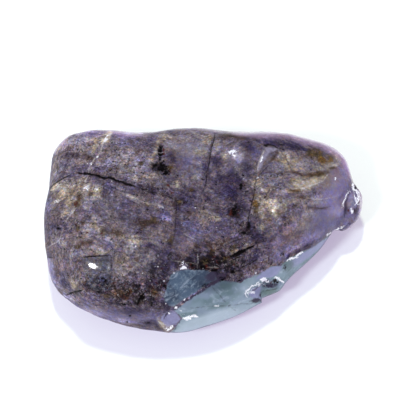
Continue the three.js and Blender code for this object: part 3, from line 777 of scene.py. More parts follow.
shadePatches = {  # lighter above 0, darker below: partly the stone's own tone, partly painted light and shade, such as the halos round the highlights and the darker foot under the knob
    "topCorner": (88, 138, 18, 7, -5, 0.3),
    "leftUpper": (112, 157, 16, 10, 0, 0.36),
    "upperMiddle": (156, 152, 20, 12, 0, 0.1),
    "topRun": (190, 135, 26, 7, 0, 0.14),
    "middleLow": (218, 182, 14, 11, 0, 0.3),
    "aboveMica": (222, 243, 12, 9, 0, 0.22),
    "frontMiddle": (112, 276, 16, 9, 0, 0.18),
    "frontEnd": (150, 306, 11, 6, 0, -0.16),
    "leftLow": (76, 246, 17, 13, 0, 0.3),
    "rightSlope": (326, 188, 12, 12, 0, 0.1),
    "lowSlope": (292, 228, 16, 14, -40, 0.08),
    "slopeLow": (326, 213, 13, 11, -30, 0.16),
    "slopeEnd": (351, 221, 6, 8, 0, -0.45),
    "slopeMiddle": (291, 250, 9, 6, -35, 0.14),
    "backHighlight": (256, 142, 12, 6, 0, -0.1),
    "leftTop": (80, 150, 18, 10, 0, 0.06),
    "highlightRound": (234, 154.5, 10, 7, 20, 0.55),
    "secondRound": (273, 206, 8, 8, 0, 0.2),
    "bottomRim": (105, 316, 26, 3, 12, 0.4),
    "berylLow": (204, 324, 32, 5.5, -20, 1.6),
    "berylTip": (236, 312, 12, 4, -32, -0.05),
    "berylLeftLow": (186, 322, 9, 6, -20, 0.3),
    "berylFoot": (211, 310, 12, 4, -20, 0.12),
    "berylByNotch": (250, 301, 8, 4, -25, 0.15),
    "berylLeft": (206, 305, 16, 6, -30, 0.04),
    "berylPale": (247, 284, 12, 8, -35, 0.45),
    "berylUpper": (222, 286, 17, 5, -15, -0.75),
    "berylRight": (300, 262, 14, 5, -35, 0.2),
    "tealDark": (206, 277, 8, 7, 0, -1.3),
    "tealLow": (181, 298, 9, 3, -35, 0.06),
    "tealLeft": (174, 291, 4.5, 7, -30, 0.12),
    "tealFoot": (166, 304, 6, 3, 0, -0.6),
    "tealLight": (181, 283, 10, 9, -30, -0.08),
}
palePatches = {  # broken, sugary white; the haze on the middle highlight and the spot on the narrow end are painted highlights
    "veinTop": (106.5, 138.5, 2.0, 5, 34, 0.72),
    # painted highlight: white haze round the middle highlight
    "highlightHaze": (232.6, 152.6, 5.6, 3.6, 25, 0.72),
    "veinBright": (97, 156.8, 2.2, 1.2, -30, 0.6),
    "veinLow": (91.3, 163.5, 1.2, 2, 20, 0.6),
    "leftSugar": (86.5, 188.5, 4.4, 2.6, -30, 0.72),
    "leftSugarTwo": (97, 190, 2.4, 3.6, 0, 0.52),
    "leftSugarThree": (57, 201, 3.6, 1.8, -20, 0.8),
    "clusterHaze": (264.5, 280.6, 5, 2.6, 5, 0.8),
    "arcHaze": (252, 288, 6, 5, -30, 0.45),
    "knobMiddle": (356, 197, 2.6, 7, -6, 1.0),
    "knobTop": (352.6, 187.5, 1.4, 5, -8, 0.75),
    "knobLower": (354, 204.5, 2.6, 1.4, -40, 0.5),
    "knobBelow": (335, 231, 6.4, 1.6, -33, 0.7),
    "frontChip": (71, 299, 5.0, 1.8, 38, 0.45),
    "cornerChip": (167.5, 327, 4.5, 2.0, 0, 0.7),
    # painted glint on the narrow end
    "glintRight": (335, 179, 1.6, 1.5, 0, 1.1),
    "seamSugar": (175, 309, 6, 2, -35, 0.4),
    "tipSugar": (183.5, 267.8, 4.2, 2.6, 0, 0.5),
}
slatePatches = {  # dark, a little blue
    "underCluster": (270, 284.6, 5.0, 1.5, -14, 1.0),
    "besideTeal": (212, 277, 6.5, 5.5, -25, 1.0),
    "aboveTeal": (222, 276, 7, 3.4, -20, 0.8),
    "seamFoot": (166, 309, 5, 4, -40, 0.7),
    "seamHead": (218, 281, 6, 2.2, -30, 0.9),
    "knobTop": (354.5, 189, 2.0, 4, -10, 0.8),
    "knobHollowLow": (345.5, 213.5, 1.4, 5, 5, 0.4),
    "knobRight": (354.6, 209.5, 1.3, 2.6, 0, 0.5),
    "knobFoot": (341, 228.5, 7, 1.2, -30, 0.4),
    # painted shadow in the notch
    "notch": (255, 299.5, 6, 1.8, -12, 0.9),
    "underHole": (268, 287.5, 6, 1.2, -18, 0.35),
    "cornerFacet": (170, 319, 8, 6, 0, 0.2),
    "greenCorner": (285, 267, 2.4, 5.5, 15, 0.6),
    "tealCorner": (166, 304, 5, 3, 0, 0.6),
    "frontCorner": (160, 303, 6, 4, 0, 0.5),
    "micaEdge": (228, 281, 12, 2.0, 4, 0.6),
}
greyGreenPatches = {
    "knob": (353, 203, 4.5, 5, 0, 0.4),
    "greenWall": (289, 266, 7, 8, 30, 0.8),
    "greenUnder": (268, 291.5, 9, 4.5, -28, 0.9),
    "berylUpper": (228, 286, 12, 5, -5, 0.45),
}
seamBumps = {
    "one": (212.5, 282.6, 1.6, 1.0, -35, 0.9),
    "two": (206, 286.6, 2.2, 1.3, -35, 1.1),
    "three": (200.5, 290.2, 1.3, 1.0, 0, 0.8),
    "four": (194.8, 293.2, 2.0, 1.3, -35, 1.1),
    "five": (189, 298, 1.6, 1.1, -35, 0.9),
    "six": (181, 304.5, 1.8, 1.2, -35, 0.9),
    "seven": (171.5, 310.5, 2.2, 1.4, -35, 0.9),
}
glints = {  # painted glints: white specks where the polish sparkles, on pale grains, by area: middle, and how far they reach
    "bluntEndBack": [
        (85, 181, 1.5), (112, 181, 1.5), (87.5, 163.5, 1.3), (104, 162, 1.1), (80, 140.5, 1.3),
        (79, 201, 1.3), (67.5, 218.5, 1.0), (62, 172.3, 1.0), (98, 159, 1.0), (82, 143, 1.2),
        (90, 172, 0.9),
    ],
    "bluntEndFront": [
        (108.5, 268, 1.5), (110.5, 273, 1.1), (119, 281.5, 1.2), (123, 282.5, 1.0),
        (128.5, 264.5, 1.1), (107, 290, 1.0), (118, 295, 1.0), (103, 297, 1.0),
    ],
    "middleBack": [
        (195.5, 207.5, 1.6), (195, 220, 1.2), (181, 223, 1.1), (163.5, 229.5, 1.1), (217, 227.5, 1.5),
        (156.5, 148.5, 1.0), (163, 153, 0.9), (223, 175.5, 1.2), (138, 208.5, 1.1), (232, 190, 1.0),
    ],
    "middleFront": [
        (154.5, 231, 1.3), (166, 240, 1.4), (135.5, 246.5, 1.7), (144, 249, 1.1), (208.5, 240.5, 1.3),
        (132.5, 278.5, 1.3), (143, 273, 1.6), (155.5, 266.5, 1.4), (158, 266.5, 1.5), (150, 281, 1.2),
        (164, 281, 2.0), (188, 266, 1.6), (198, 257, 1.2), (203, 269, 1.3), (166, 303.5, 1.5),
        (147, 308, 1.2), (150, 295, 1.3), (174, 273, 1.9), (145, 299, 1.6), (158, 256, 1.0),
        (134, 299, 1.1), (161, 293, 1.1), (176, 240, 0.9),
    ],
    "narrowEnd": [
        (328.5, 184.5, 1.1), (256, 273, 1.8), (261, 262, 1.3), (243.5, 178.5, 1.4), (252, 262, 1.0),
        (336, 178.5, 1.2), (258, 252, 0.9),
    ],
}
polished = {  # smooth places that mirror the lamp: middle, half size, turn, and how smooth
    "bluntCorner": (91, 267.6, 12.5, 10.5, 0, 1.4),
    "middle": (232.5, 152.8, 7, 5.4, 25, 1.4),
    "narrowEnd": (273, 205.5, 3.2, 3.8, -25, 1.5),
    "narrowEndLow": (270.8, 211, 2.6, 1.9, 0, 1.5),
}
facets = {
    "arcFloor": [
        (249, 296.5), (252, 291), (257, 287), (262, 285.5), (261.5, 291), (260.5, 298), (255, 299),
    ],
    "rightEnd": [
        (288, 262.5), (303, 253), (318, 243.5), (331, 236), (326, 244), (308, 259), (294, 268),
        (287, 268),
    ],
    "berylTop": [
        (255, 279), (262, 272.5), (268, 268.5), (273, 266.3), (283, 265.8), (281, 270), (277, 275.3),
        (270, 278.5), (262, 279.5),
    ],
    "corner": [
        (163, 315), (171, 310), (176, 311.5), (181, 318.5), (177, 323), (173, 323.5), (168, 327),
        (164, 323.5), (160, 320),
    ],
}
berylOutline = [
    (171, 274), (178, 271), (186, 269.5), (203, 270), (214, 273), (218, 280), (232, 281), (241, 283),
    (244, 280), (252, 277), (262, 273), (268, 269), (272, 266), (281, 266), (284, 263), (290, 258),
    (303, 251), (312, 248), (320, 242), (327, 237), (336, 232), (342, 240), (320, 262), (292, 290),
    (262, 312), (225, 340), (186, 345), (160, 345), (166, 333), (172, 329), (178, 323), (182, 318),
    (176, 313), (167, 304), (164, 298), (165, 292), (168, 283),
]
tealOutline = [
    (172, 272), (179, 270.5), (187, 269.5), (196, 270.5), (204, 270), (212, 272), (213, 277),
    (207, 283), (200, 287.5), (193, 292.5), (186, 297.5), (179, 302), (172, 306.5), (163, 306),
    (164, 297), (167, 289), (169.5, 281),
]
quadOutline = [
    (82, 257.5), (97, 256.2), (111, 255), (112, 270), (114, 288), (106, 291), (98, 290.5), (87, 286),
    (84, 275),
]
schistWedge = [
    (222, 279), (213, 281.5), (205, 286), (198, 290.5), (190, 296), (182, 301.5), (174, 306.5),
    (166, 305.5), (158, 311), (158, 323), (163, 316), (169, 311), (176, 310), (184, 303.5),
    (192, 297.5), (203, 290), (214, 284.2),
]
flakeOutline = [
    (264, 147), (270, 146.5), (278, 148), (276, 151.5), (270.5, 153.5), (267, 157.5), (265, 162),
    (262, 167), (260, 172), (257, 173), (257, 167), (258, 162), (260, 157), (263, 153), (265, 151),
]
brokenOutline = [
    (244, 297), (245, 292), (249, 287), (254, 284), (260, 282), (264, 277.5), (271, 278), (276, 275.5),
    (283, 279.5), (281, 283), (274, 285), (266, 286.5), (262, 288), (261, 297), (254, 299),
    (249, 296.5),
]


# Reading the chart

washRules = {
    "shown": (0.2, 0.95),  # where a wash starts to show, and where it is all there
    "most": 0.92,
    "crumble": 0.45,  # how much an edge crumbles, and where it starts to
    "crumbleField": (0.05, 0.35),
    "crumbs": ((0.5, 1.7, 41), (0.4, 0.95, 43), (0.3, 0.55, 47)),  # share, distance in mm, seed
    "calmLoss": 0.78,  # how much less of it there is where the stone is calm
    "calmField": (0.1, 0.6),
    "hiddenPeriod": 7,  # on the sides that the chart does not show
    "hiddenSeed": 60,
    "hiddenGain": 0.9,
    "hiddenLoss": 0.35,
    "quadMost": 0.6,
    "quadCrumble": 1.2,
    "quadEdge": (-0.6, 1.6),
}
markRules = {
    "reach": 2.2,  # squares past a line's edge where its width is still kept
    "taper": 0.16,  # share of a line over which each end thins out
    "margin": 8.0,  # squares past a line's box that are looked at
    "farAway": 9.0,
    "glintShare": 0.66,  # share of a painted glint's reach that it is drawn at
    "patchFall": 0.7,  # how fast a patch fades out
    "calmLimits": (-0.7, 0.85),
    "tealNarrowing": 5,  # squares that the teal facet loses towards its foot
    "tealSteepness": 0.45,
    "tealMargin": -3,  # squares outside the teal facet that still count as beryl's edge
    "seamCover": 1.4,  # how fully a bump hides the dark seam under it
    "grainLean": 0.5,  # how the line between the two directions of grain leans
    "grainLevel": 200,
}
hiddenMarks = {  # on the sides that the chart does not show: distance in mm, seed, gain, what is added
    "rust": (4, 7, 0.9, -0.7),
    "dark": (4, 11, 1.0, -0.6),
    "mica": (7, 17, 0.5, 0.15),
}
hiddenShade = (0.25, 8, 19)  # share, distance in mm, seed
rimRules = {
    "facing": 0.75,  # a place carries the painted rim reflection when it faces the viewer less squarely than this
    "ragged": ((0.1, 1.6, 43), (0.07, 0.6, 47)),  # how far its edge swings, over how many mm, and seed
    "skimGain": 1.3,
    "skimBehind": 0.4,
}
knobBox = {  # the rough lump, in mm
    "left": (16.2, 17.0),  # where it starts, and where it is all there
    "front": (-1.5, -0.5),
    "back": (7.4, 0.6),  # where it ends, and over how much it fades out
    "top": (9.2, 1.0),
}
ramps = {  # where something starts, and where it is all there
    "shown": (0.02, 0.16),  # how squarely a place must face the viewer to carry the chart's marks
    "behind": (0.25, 0.6),  # how squarely it faces away where charted lines fade out
    "rimBack": (-0.22, 0.06),
    "skim": (-0.5, -0.15),
    "skimBehind": (0.0, 0.3),
    "edge": (-0.3, -0.08),
    "edgeBack": (-0.16, -0.02),
    "frontSide": (0.0, 0.3),
    "tealFoot": (298, 309),  # from here on, squares of the chart, below 0 where they are read backwards
    "edgeLeft": (-66, -52),
    "edgeLow": (294, 304),
    "rightGrain": (190, 240),
    "schist": (-0.5, 1.0),
    "flake": (-1.2, 1.2),
    "flakeHigh": (-196, -178),
    "broken": (-0.8, 1.6),
    "stepTop": (256.8, 258.2),
    "stepRight": (-54, -50),
    "stepFoot": (-286, -270),
    "beryl": (-0.7, 0.7),
    "notchLeft": (260.3, 261.6),
    "notchRight": (-284, -266),
    "notchTop": (284, 293),
}
rollRules = {"waves": 9, "spread": (0.6, 1.5)}  # how many waves, and how far their lengths vary


def smoothRise(value, low, high):
    t = np.clip((value - low) / (high - low), 0, 1)
    return t * t * (3 - 2 * t)


def ramp(value, name):
    return smoothRise(value, *ramps[name])


def toStretch(x, y, start, end):
    # vector from the nearest point of a straight stretch, and how far along the stretch that is
    ax, ay = start
    dx, dy = end[0] - ax, end[1] - ay
    t = np.clip(((x - ax) * dx + (y - ay) * dy) / (dx * dx + dy * dy), 0, 1)
    return x - ax - t * dx, y - ay - t * dy, t


def alongLine(x, y, path):
    # distance to a line, below 0 on its left, and the share of the line passed at the nearest point
    away = np.full(len(x), np.inf)
    side = np.zeros(len(x))
    passed = np.zeros(len(x))
    lengths = [math.dist(a, b) for a, b in zip(path, path[1:])]
    done = 0.0
    for start, end, length in zip(path, path[1:], lengths):
        px, py, t = toStretch(x, y, start, end)
        distance = np.hypot(px, py)
        closer = distance < away
        turn = np.where((end[0] - start[0]) * py - (end[1] - start[1]) * px < 0, -1.0, 1.0)
        away = np.where(closer, distance, away)
        side = np.where(closer, turn, side)
        passed = np.where(closer, done + t * length, passed)
        done += length
    return side * away, passed / done


def lineFields(x, y, lines):
    # for each place: distance to the nearest line, and that line's width there, or 0 far from any line
    side = np.full(len(x), markRules["farAway"])
    width = np.zeros(len(x))
    pastKept = np.full(len(x), np.inf)
    for broad, path in lines.values():
        xs, ys = zip(*path)
        margin = markRules["margin"]
        acrossNear = (x > min(xs) - margin) & (x < max(xs) + margin)
        near = np.nonzero(acrossNear & (y > min(ys) - margin) & (y < max(ys) + margin))[0]
        distance, passed = alongLine(x[near], y[near], path)
        thinned = broad * np.sqrt(np.clip(np.minimum(passed, 1 - passed) / markRules["taper"], 0, 1))
        thinned[np.abs(distance) > broad / 2 + markRules["reach"]] = 0
        past = np.abs(distance) - thinned / 2 + markRules["reach"] * (thinned == 0)
        better = past < pastKept[near]
        pastKept[near[better]] = past[better]
        side[near[better]] = distance[better]
        width[near[better]] = thinned[better]
    return side, width


def insideOf(x, y, corners):
    # distance in from a closed outline's edge, below 0 outside it
    inside = np.zeros(len(x), bool)
    away = np.full(len(x), np.inf)
    for start, end in zip(corners, corners[1:] + corners[:1]):
        if start[1] != end[1]:
            crossing = start[0] + (y - start[1]) * (end[0] - start[0]) / (end[1] - start[1])
            inside ^= ((start[1] > y) != (end[1] > y)) & (x < crossing)
        px, py, _ = toStretch(x, y, start, end)
        away = np.minimum(away, np.hypot(px, py))
    return np.where(inside, away, -away)


def patchField(x, y, across, down, halfAcross, halfDown, turn, strength):
    angle = math.radians(turn)
    u = ((x - across) * math.cos(angle) + (y - down) * math.sin(angle)) / halfAcross
    v = ((y - down) * math.cos(angle) - (x - across) * math.sin(angle)) / halfDown
    return strength * np.exp(-markRules["patchFall"] * (u * u + v * v))


def joinedPatches(x, y, patches):
    field = np.zeros(len(x))
    for patch in patches.values():
        field = np.maximum(field, patchField(x, y, *patch))
    return field


def summedPatches(x, y, patches):
    field = np.zeros(len(x))
    for patch in patches.values():
        field += patchField(x, y, *patch)
    return field


def paintedGlintField(x, y, grains):
    # distance in from the edge of the nearest painted glint
    field = np.full(len(x), -markRules["farAway"])
    for area in grains.values():
        for across, down, reach in area:
            inside = reach * markRules["glintShare"] - np.hypot(x - across, y - down)
            field = np.maximum(field, inside)
    return field


def roll(points, period, seed):
    # a smooth field between about -1 and 1 that rolls up and down over the given distance
    rng = np.random.default_rng(seed)
    field = np.zeros(len(points))
    for turn in rng.normal(size=(rollRules["waves"], 3)):
        wave = turn / np.linalg.norm(turn) * (2 * math.pi / period) * rng.uniform(*rollRules["spread"])
        field += np.sin(points @ wave + rng.uniform(0, 2 * math.pi))
    return field / math.sqrt(rollRules["waves"])


# The stone's shape

stoneShape = {
    "weld": 1e-6,
    "voxel": 0.00018,
    "smoothFactor": 0.5,
    "smoothPasses": 16,
    "fullPolish": 0.5,
    "polishSteps": 10,
    "polishPasses": 150,
    "weightSteps": 400,  # how finely a push is graded
    "deepest": 0.0006,  # metres, the most that one push moves the surface
}
relief = {  # in mm
    "crackDepth": 0.05,
    "veinRise": 0.025,
    "blotDepth": 0.16,
    "seamDepth": 0.07,
    "bumpRise": 0.1,
    "flakeRise": 0.09,
    "brokenDepth": 0.26,
    "brokenJag": 0.09,
    "knobJag": 0.035,
    "paleJag": 0.06,
    "stepDepth": 0.12,
    "notchDepth": 0.5,
    "berylSink": 0.03,
    "grain": 0.012,
    "swell": 0.035,
    "restingFade": 1.0,  # the face that it rests on stays flat up to this height
    "jag": (1.2, 23),  # distance and seed
    "fineJag": (0.7, 29),
    "swellRoll": (3.2, 31),
    "carvedShare": 0.6,  # from here on, shares: how much of a line's charted width is carved
    "seamJag": 0.6,
    "knobCoarse": 0.7,
    "knobFine": 0.5,
    "swellOnBeryl": 0.4,
    "glossCover": 1.2,  # how fully a polished place hides the grain
    "flakeLean": 0.5,
    "crackSpread": 0.2,  # how far past a line's edge the carving goes, in squares of the chart
    "veinSpread": 0.6,
    "seamSpread": 0.4,
}
localSwells = {  # in mm, over patches of the chart
    "besideNarrowEnd": (280, 210, 15, 11, 0, 0.34),
    "bluntCorner": (90, 267, 12.5, 30, 0, 0.08),
    "narrowEndDent": (269.5, 207, 6, 6, 0, -0.17),
    "middle": (231, 146, 10, 10, 0, 0.1),
}
outlineSwells = {  # the same, reaching round the edge
    "knob": (358, 204, 8, 20, 0, 0.22),
    "corner": (180, 331, 15, 6, 0, 0.32),
    "backCorner": (68, 136, 12, 7, -35, 0.2),
    "berylStep": (272, 292, 12, 8, -30, 0.55),
    "berylEdge": (242, 313, 22, 6, -33, 0.3),
    "shoulder": (328, 147, 16, 8, 30, 0.2),
}


def selectOnly(piece):
    bpy.ops.object.select_all(action="DESELECT")
    piece.select_set(True)
    bpy.context.view_layer.objects.active = piece


def applyModifier(piece, kind, **settings):
    modifier = piece.modifiers.new(kind.lower(), kind)
    for name, value in settings.items():
        setattr(modifier, name, value)
    selectOnly(piece)
    bpy.ops.object.modifier_apply(modifier=modifier.name)


def push(piece, moves):
    # moves each point along its normal by so many metres. No two moves have opposite signs.
    group = piece.vertex_groups.new(name="push")
    steps = stoneShape["weightSteps"]
    sign = 1 if moves.max() > 0 else -1
    levels = np.round(np.clip(sign * moves / stoneShape["deepest"], 0, 1) * steps).astype(int)
    for level in np.unique(levels[levels > 0]):
        group.add(np.nonzero(levels == level)[0].tolist(), level / steps, "REPLACE")
    strength = sign * stoneShape["deepest"]
    applyModifier(piece, "DISPLACE", vertex_group="push", strength=strength, mid_level=0.0)
    piece.vertex_groups.clear()


def pushBothWays(piece, height):
    # height is in mm, above or below 0
    push(piece, np.maximum(height, 0) / mmPerMetre)
    push(piece, np.minimum(height, 0) / mmPerMetre)


def polish(piece, gloss):
    # smooths the places that mirror the lamp
    group = piece.vertex_groups.new(name="polish")
    weights = np.clip(gloss / stoneShape["fullPolish"], 0, 1)
    steps = stoneShape["polishSteps"]
    levels = np.round(weights * steps).astype(int)
    for level in range(1, steps + 1):
        group.add(np.nonzero(levels == level)[0].tolist(), level / steps, "REPLACE")
    factor, passes = stoneShape["smoothFactor"], stoneShape["polishPasses"]
    applyModifier(piece, "SMOOTH", vertex_group="polish", factor=factor, iterations=passes)
    piece.vertex_groups.clear()


def makeStone():
    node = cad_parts["emerald_stone"]
    stone = bpy.data.objects.new("emeraldStone", node.data.copy())
    bpy.context.scene.collection.objects.link(stone)
    stone.data.materials.clear()
    selectOnly(stone)
    bpy.ops.object.mode_set(mode="EDIT")
    bpy.ops.mesh.select_all(action="SELECT")
    bpy.ops.mesh.remove_doubles(threshold=stoneShape["weld"])
    bpy.ops.object.mode_set(mode="OBJECT")
    applyModifier(stone, "SUBSURF", levels=1, render_levels=1)
    applyModifier(stone, "REMESH", mode="VOXEL", voxel_size=stoneShape["voxel"])
    factor, passes = stoneShape["smoothFactor"], stoneShape["smoothPasses"]
    applyModifier(stone, "SMOOTH", factor=factor, iterations=passes)
    bpy.ops.object.shade_smooth()
    print("stone remeshed:", len(stone.data.vertices), "points")
    return stone


def readVectors(piece, name):
    values = np.zeros(len(piece.data.vertices) * 3)
    piece.data.vertices.foreach_get(name, values)
    return values.reshape(-1, 3)


def keepMark(piece, name, values):
    mark = piece.data.attributes.new(name, "FLOAT", "POINT")
    mark.data.foreach_set("value", values.astype(np.float32))


def keepWash(piece, colours):
    wash = piece.data.attributes.new("wash", "FLOAT_COLOR", "POINT")
    opaque = np.ones((len(colours), 1))
    wash.data.foreach_set("color", np.hstack([colours, opaque]).astype(np.float32).ravel())


class Places:
    # every point of the stone: in mm, on the chart, and how squarely it faces the viewer
    def __init__(self, stone):
        points = readVectors(stone, "co")
        self.mm = points * mmPerMetre
        self.x, self.y = chartOf(points)
        self.normals = readVectors(stone, "normal")
        self.facing = self.normals @ viewBack
        self.shown = ramp(self.facing, "shown")
        self.hidden = 1 - self.shown

    def roll(self, rules):
        # rules: the distance and the seed
        return roll(self.mm, *rules)

    def inside(self, outline):
        return insideOf(self.x, self.y, outline)

    def joined(self, patches):
        return joinedPatches(self.x, self.y, patches) * self.shown

    def summed(self, patches):
        return summedPatches(self.x, self.y, patches) * self.shown


def washOf(places, calm):
    # the broad colour at each point of the stone
    crumbs = sum(share * places.roll(rules) for share, *rules in washRules["crumbs"])
    crumbs *= 1 - washRules["calmLoss"] * smoothRise(calm, *washRules["calmField"])
    colours = np.tile(paint("ground")[:3], (len(calm), 1))
    for index, (name, patches) in enumerate(washes.items()):
        rolling = places.roll((washRules["hiddenPeriod"], washRules["hiddenSeed"] + index))
        away = np.clip(washRules["hiddenGain"] * rolling - washRules["hiddenLoss"], 0, 1)
        field = places.joined(patches) + places.hidden * away
        field += washRules["crumble"] * crumbs * smoothRise(field, *washRules["crumbleField"])
        amount = washRules["most"] * smoothRise(field, *washRules["shown"])
        colours += (np.array(paint(name)[:3]) - colours) * amount[:, None]
    quadEdge = places.inside(quadOutline) + washRules["quadCrumble"] * crumbs
    quad = washRules["quadMost"] * smoothRise(quadEdge, *washRules["quadEdge"]) * places.shown
    return colours + (np.array(paint("quad")[:3]) - colours) * quad[:, None]


def capped(distance):
    return np.clip(distance, -markRules["farAway"], markRules["farAway"])


def knobOf(places):
    # 1 on the rough lump at the narrow end
    along, across, up = places.mm.T
    back, backFade = knobBox["back"]
    top, topFade = knobBox["top"]
    knob = smoothRise(along, *knobBox["left"]) * smoothRise(back - across, 0, backFade)
    return knob * smoothRise(across, *knobBox["front"]) * smoothRise(top - up, 0, topFade)


def rimOf(places):
    # painted reflection along the far edge, where it is pale, and where light skims its coat
    field = joinedPatches(places.x, places.y, rimReflectionPatches)
    ragged = places.facing + sum(share * places.roll(rules) for share, *rules in rimRules["ragged"])
    rimReflection = field * smoothRise(-places.facing, -rimRules["facing"], 0.0) * ramp(ragged, "rimBack")
    skim = np.clip(rimRules["skimGain"] * field, 0, 1) * ramp(-places.facing, "skim")
    return rimReflection, np.maximum(skim, rimRules["skimBehind"] * ramp(-places.facing, "skimBehind"))


def berylOf(places):
    # how far in from the edge of the beryl, and of its darker facet, a place is
    beryl = np.minimum(places.inside(berylOutline), -places.inside(schistWedge))
    inTeal = places.inside(tealOutline)
    teal = inTeal - markRules["tealNarrowing"] * ramp(places.y, "tealFoot")
    onTeal = np.maximum(beryl, markRules["tealSteepness"] * teal)
    return np.where(inTeal > markRules["tealMargin"], onTeal, beryl), teal


def chartLines(places):
    # the distance to the nearest line of each kind, and that line's width
    kinds = {
        "crack": cracks,
        "vein": veins,
        "stain": stains,
        "foot": feet,
        "white": whites,
        "slate": slates,
    }
    found = {name: lineFields(places.x, places.y, lines) for name, lines in kinds.items()}
    side, width = found["slate"]
    bumpCover = np.clip(markRules["seamCover"] * places.joined(seamBumps), 0, 1)
    found["slate"] = (side, width * (1 - bumpCover))
    return found


def keepMarks(stone, places, lines, beryl, teal):
    # keeps every mark on the stone, where the material reads it
    within = 1 - ramp(-places.facing, "behind")  # charted lines fade out past the outline
    keptOn = {"crack": within, "vein": within, "stain": within, "foot": 1}
    marks = {}
    for name, (side, width) in lines.items():
        marks[name + "Side"] = side
        marks[name + "Width"] = width * keptOn.get(name, places.shown)
    for name, patches in (("rust", rustPatches), ("dark", darkPatches), ("mica", micaPatches)):
        *rules, gain, added = hiddenMarks[name]
        away = np.clip(gain * places.roll(rules) + added, 0, 1)
        marks[name] = places.joined(patches) + places.hidden * away
    share, *rules = hiddenShade
    marks["shade"] = places.summed(shadePatches) + places.hidden * share * places.roll(rules)
    marks["slate"] = places.joined(slatePatches)
    marks["greyGreen"] = places.joined(greyGreenPatches)
    marks["pale"] = places.joined(palePatches)
    marks["gloss"] = places.joined(polished)
    marks["calm"] = np.clip(places.summed(calmPatches), *markRules["calmLimits"])
    marks["beryl"] = capped(beryl)
    marks["teal"] = capped(teal)
    facet = np.maximum.reduce([places.inside(outline) for outline in facets.values()])
    marks["facet"] = capped(facet)
    offChart = -markRules["farAway"] * places.hidden
    marks["flake"] = capped(places.inside(flakeOutline)) * places.shown + offChart
    marks["glint"] = paintedGlintField(places.x, places.y, glints) * places.shown + offChart
    marks["rimReflection"], marks["skim"] = rimOf(places)
    # painted shade where the surface turns away from the viewer, stronger on the left and lower edges
    marks["edge"] = ramp(-places.facing, "edge")
    low = np.maximum(ramp(-places.x, "edgeLeft"), ramp(places.y, "edgeLow"))
    marks["shadedEdge"] = marks["edge"] * ramp(places.facing, "edgeBack") * low
    across = places.x - markRules["grainLean"] * (places.y - markRules["grainLevel"])
    marks["rightGrain"] = ramp(across, "rightGrain")
    for name, values in marks.items():
        keepMark(stone, name, values)
    keepWash(stone, washOf(places, marks["calm"]))
    print("marks charted")
    return marks


def lineProfile(line, share, spread):
    # 1 in the middle of a line, fading out a little way past its edges
    side, width = line[0], share * line[1]
    profile = np.exp(-((side / (width / 2 + spread)) ** 2)) * np.clip(width, 0, 1)
    return np.where(width > 0, profile, 0)


def carvedHeight(places, lines, beryl, marks):
    # how far each point is raised or carved, in mm
    x, y, shown = places.x, places.y, places.shown
    jag = places.roll(relief["jag"])
    fineJag = places.roll(relief["fineJag"])
    knob = knobOf(places)
    plain = 1 - np.clip(marks["gloss"] * relief["glossCover"], 0, 1)
    schist = ramp(-beryl, "schist")
    onBeryl = relief["swellOnBeryl"]
    blots = {name: patch for name, patch in darkPatches.items() if "blot" in name}

    narrowed = relief["carvedShare"]
    height = -relief["crackDepth"] * lineProfile(lines["crack"], narrowed, relief["crackSpread"])
    height += relief["veinRise"] * lineProfile(lines["vein"], narrowed, relief["veinSpread"])
    height -= relief["blotDepth"] * np.clip(joinedPatches(x, y, blots), 0, 1) * shown
    seam = lineProfile(lines["slate"], 1, relief["seamSpread"])
    height -= relief["seamDepth"] * seam * (1 + relief["seamJag"] * jag)
    height += relief["bumpRise"] * places.joined(seamBumps)
    flakeHigh = ramp(y * relief["flakeLean"] - x, "flakeHigh") * shown
    height += relief["flakeRise"] * ramp(places.inside(flakeOutline), "flake") * flakeHigh
    broken = ramp(places.inside(brokenOutline), "broken") * shown
    height -= (relief["brokenDepth"] + relief["brokenJag"] * jag) * broken
    step = ramp(y, "stepTop") * ramp(-x, "stepRight") * ramp(-y, "stepFoot") * shown
    height -= relief["stepDepth"] * step
    height -= relief["berylSink"] * ramp(beryl, "beryl")
    notch = ramp(x, "notchLeft") * ramp(-x, "notchRight") * ramp(y, "notchTop")
    height -= relief["notchDepth"] * notch * ramp(-places.normals[:, 1], "frontSide")
    height += relief["knobJag"] * knob * (relief["knobCoarse"] * jag + relief["knobFine"] * fineJag)
    height += relief["paleJag"] * np.clip(marks["pale"], 0, 1) * fineJag * (1 - knob)
    height += relief["grain"] * fineJag * plain * schist
    swelling = places.roll(relief["swellRoll"]) * plain * (onBeryl + (1 - onBeryl) * schist)
    return height + relief["swell"] * swelling + summedPatches(x, y, outlineSwells)


def markStone(stone):
    # works out every mark at every point of the stone, and carves the ones that have depth
    places = Places(stone)
    lines = chartLines(places)
    beryl, teal = berylOf(places)
    marks = keepMarks(stone, places, lines, beryl, teal)
    resting = smoothRise(places.mm[:, 2], 0.0, relief["restingFade"])
    pushBothWays(stone, carvedHeight(places, lines, beryl, marks) * resting)
    polish(stone, marks["gloss"])
    pushBothWays(stone, places.summed(localSwells) * resting)
    print("marks carved")


# The stone's finish

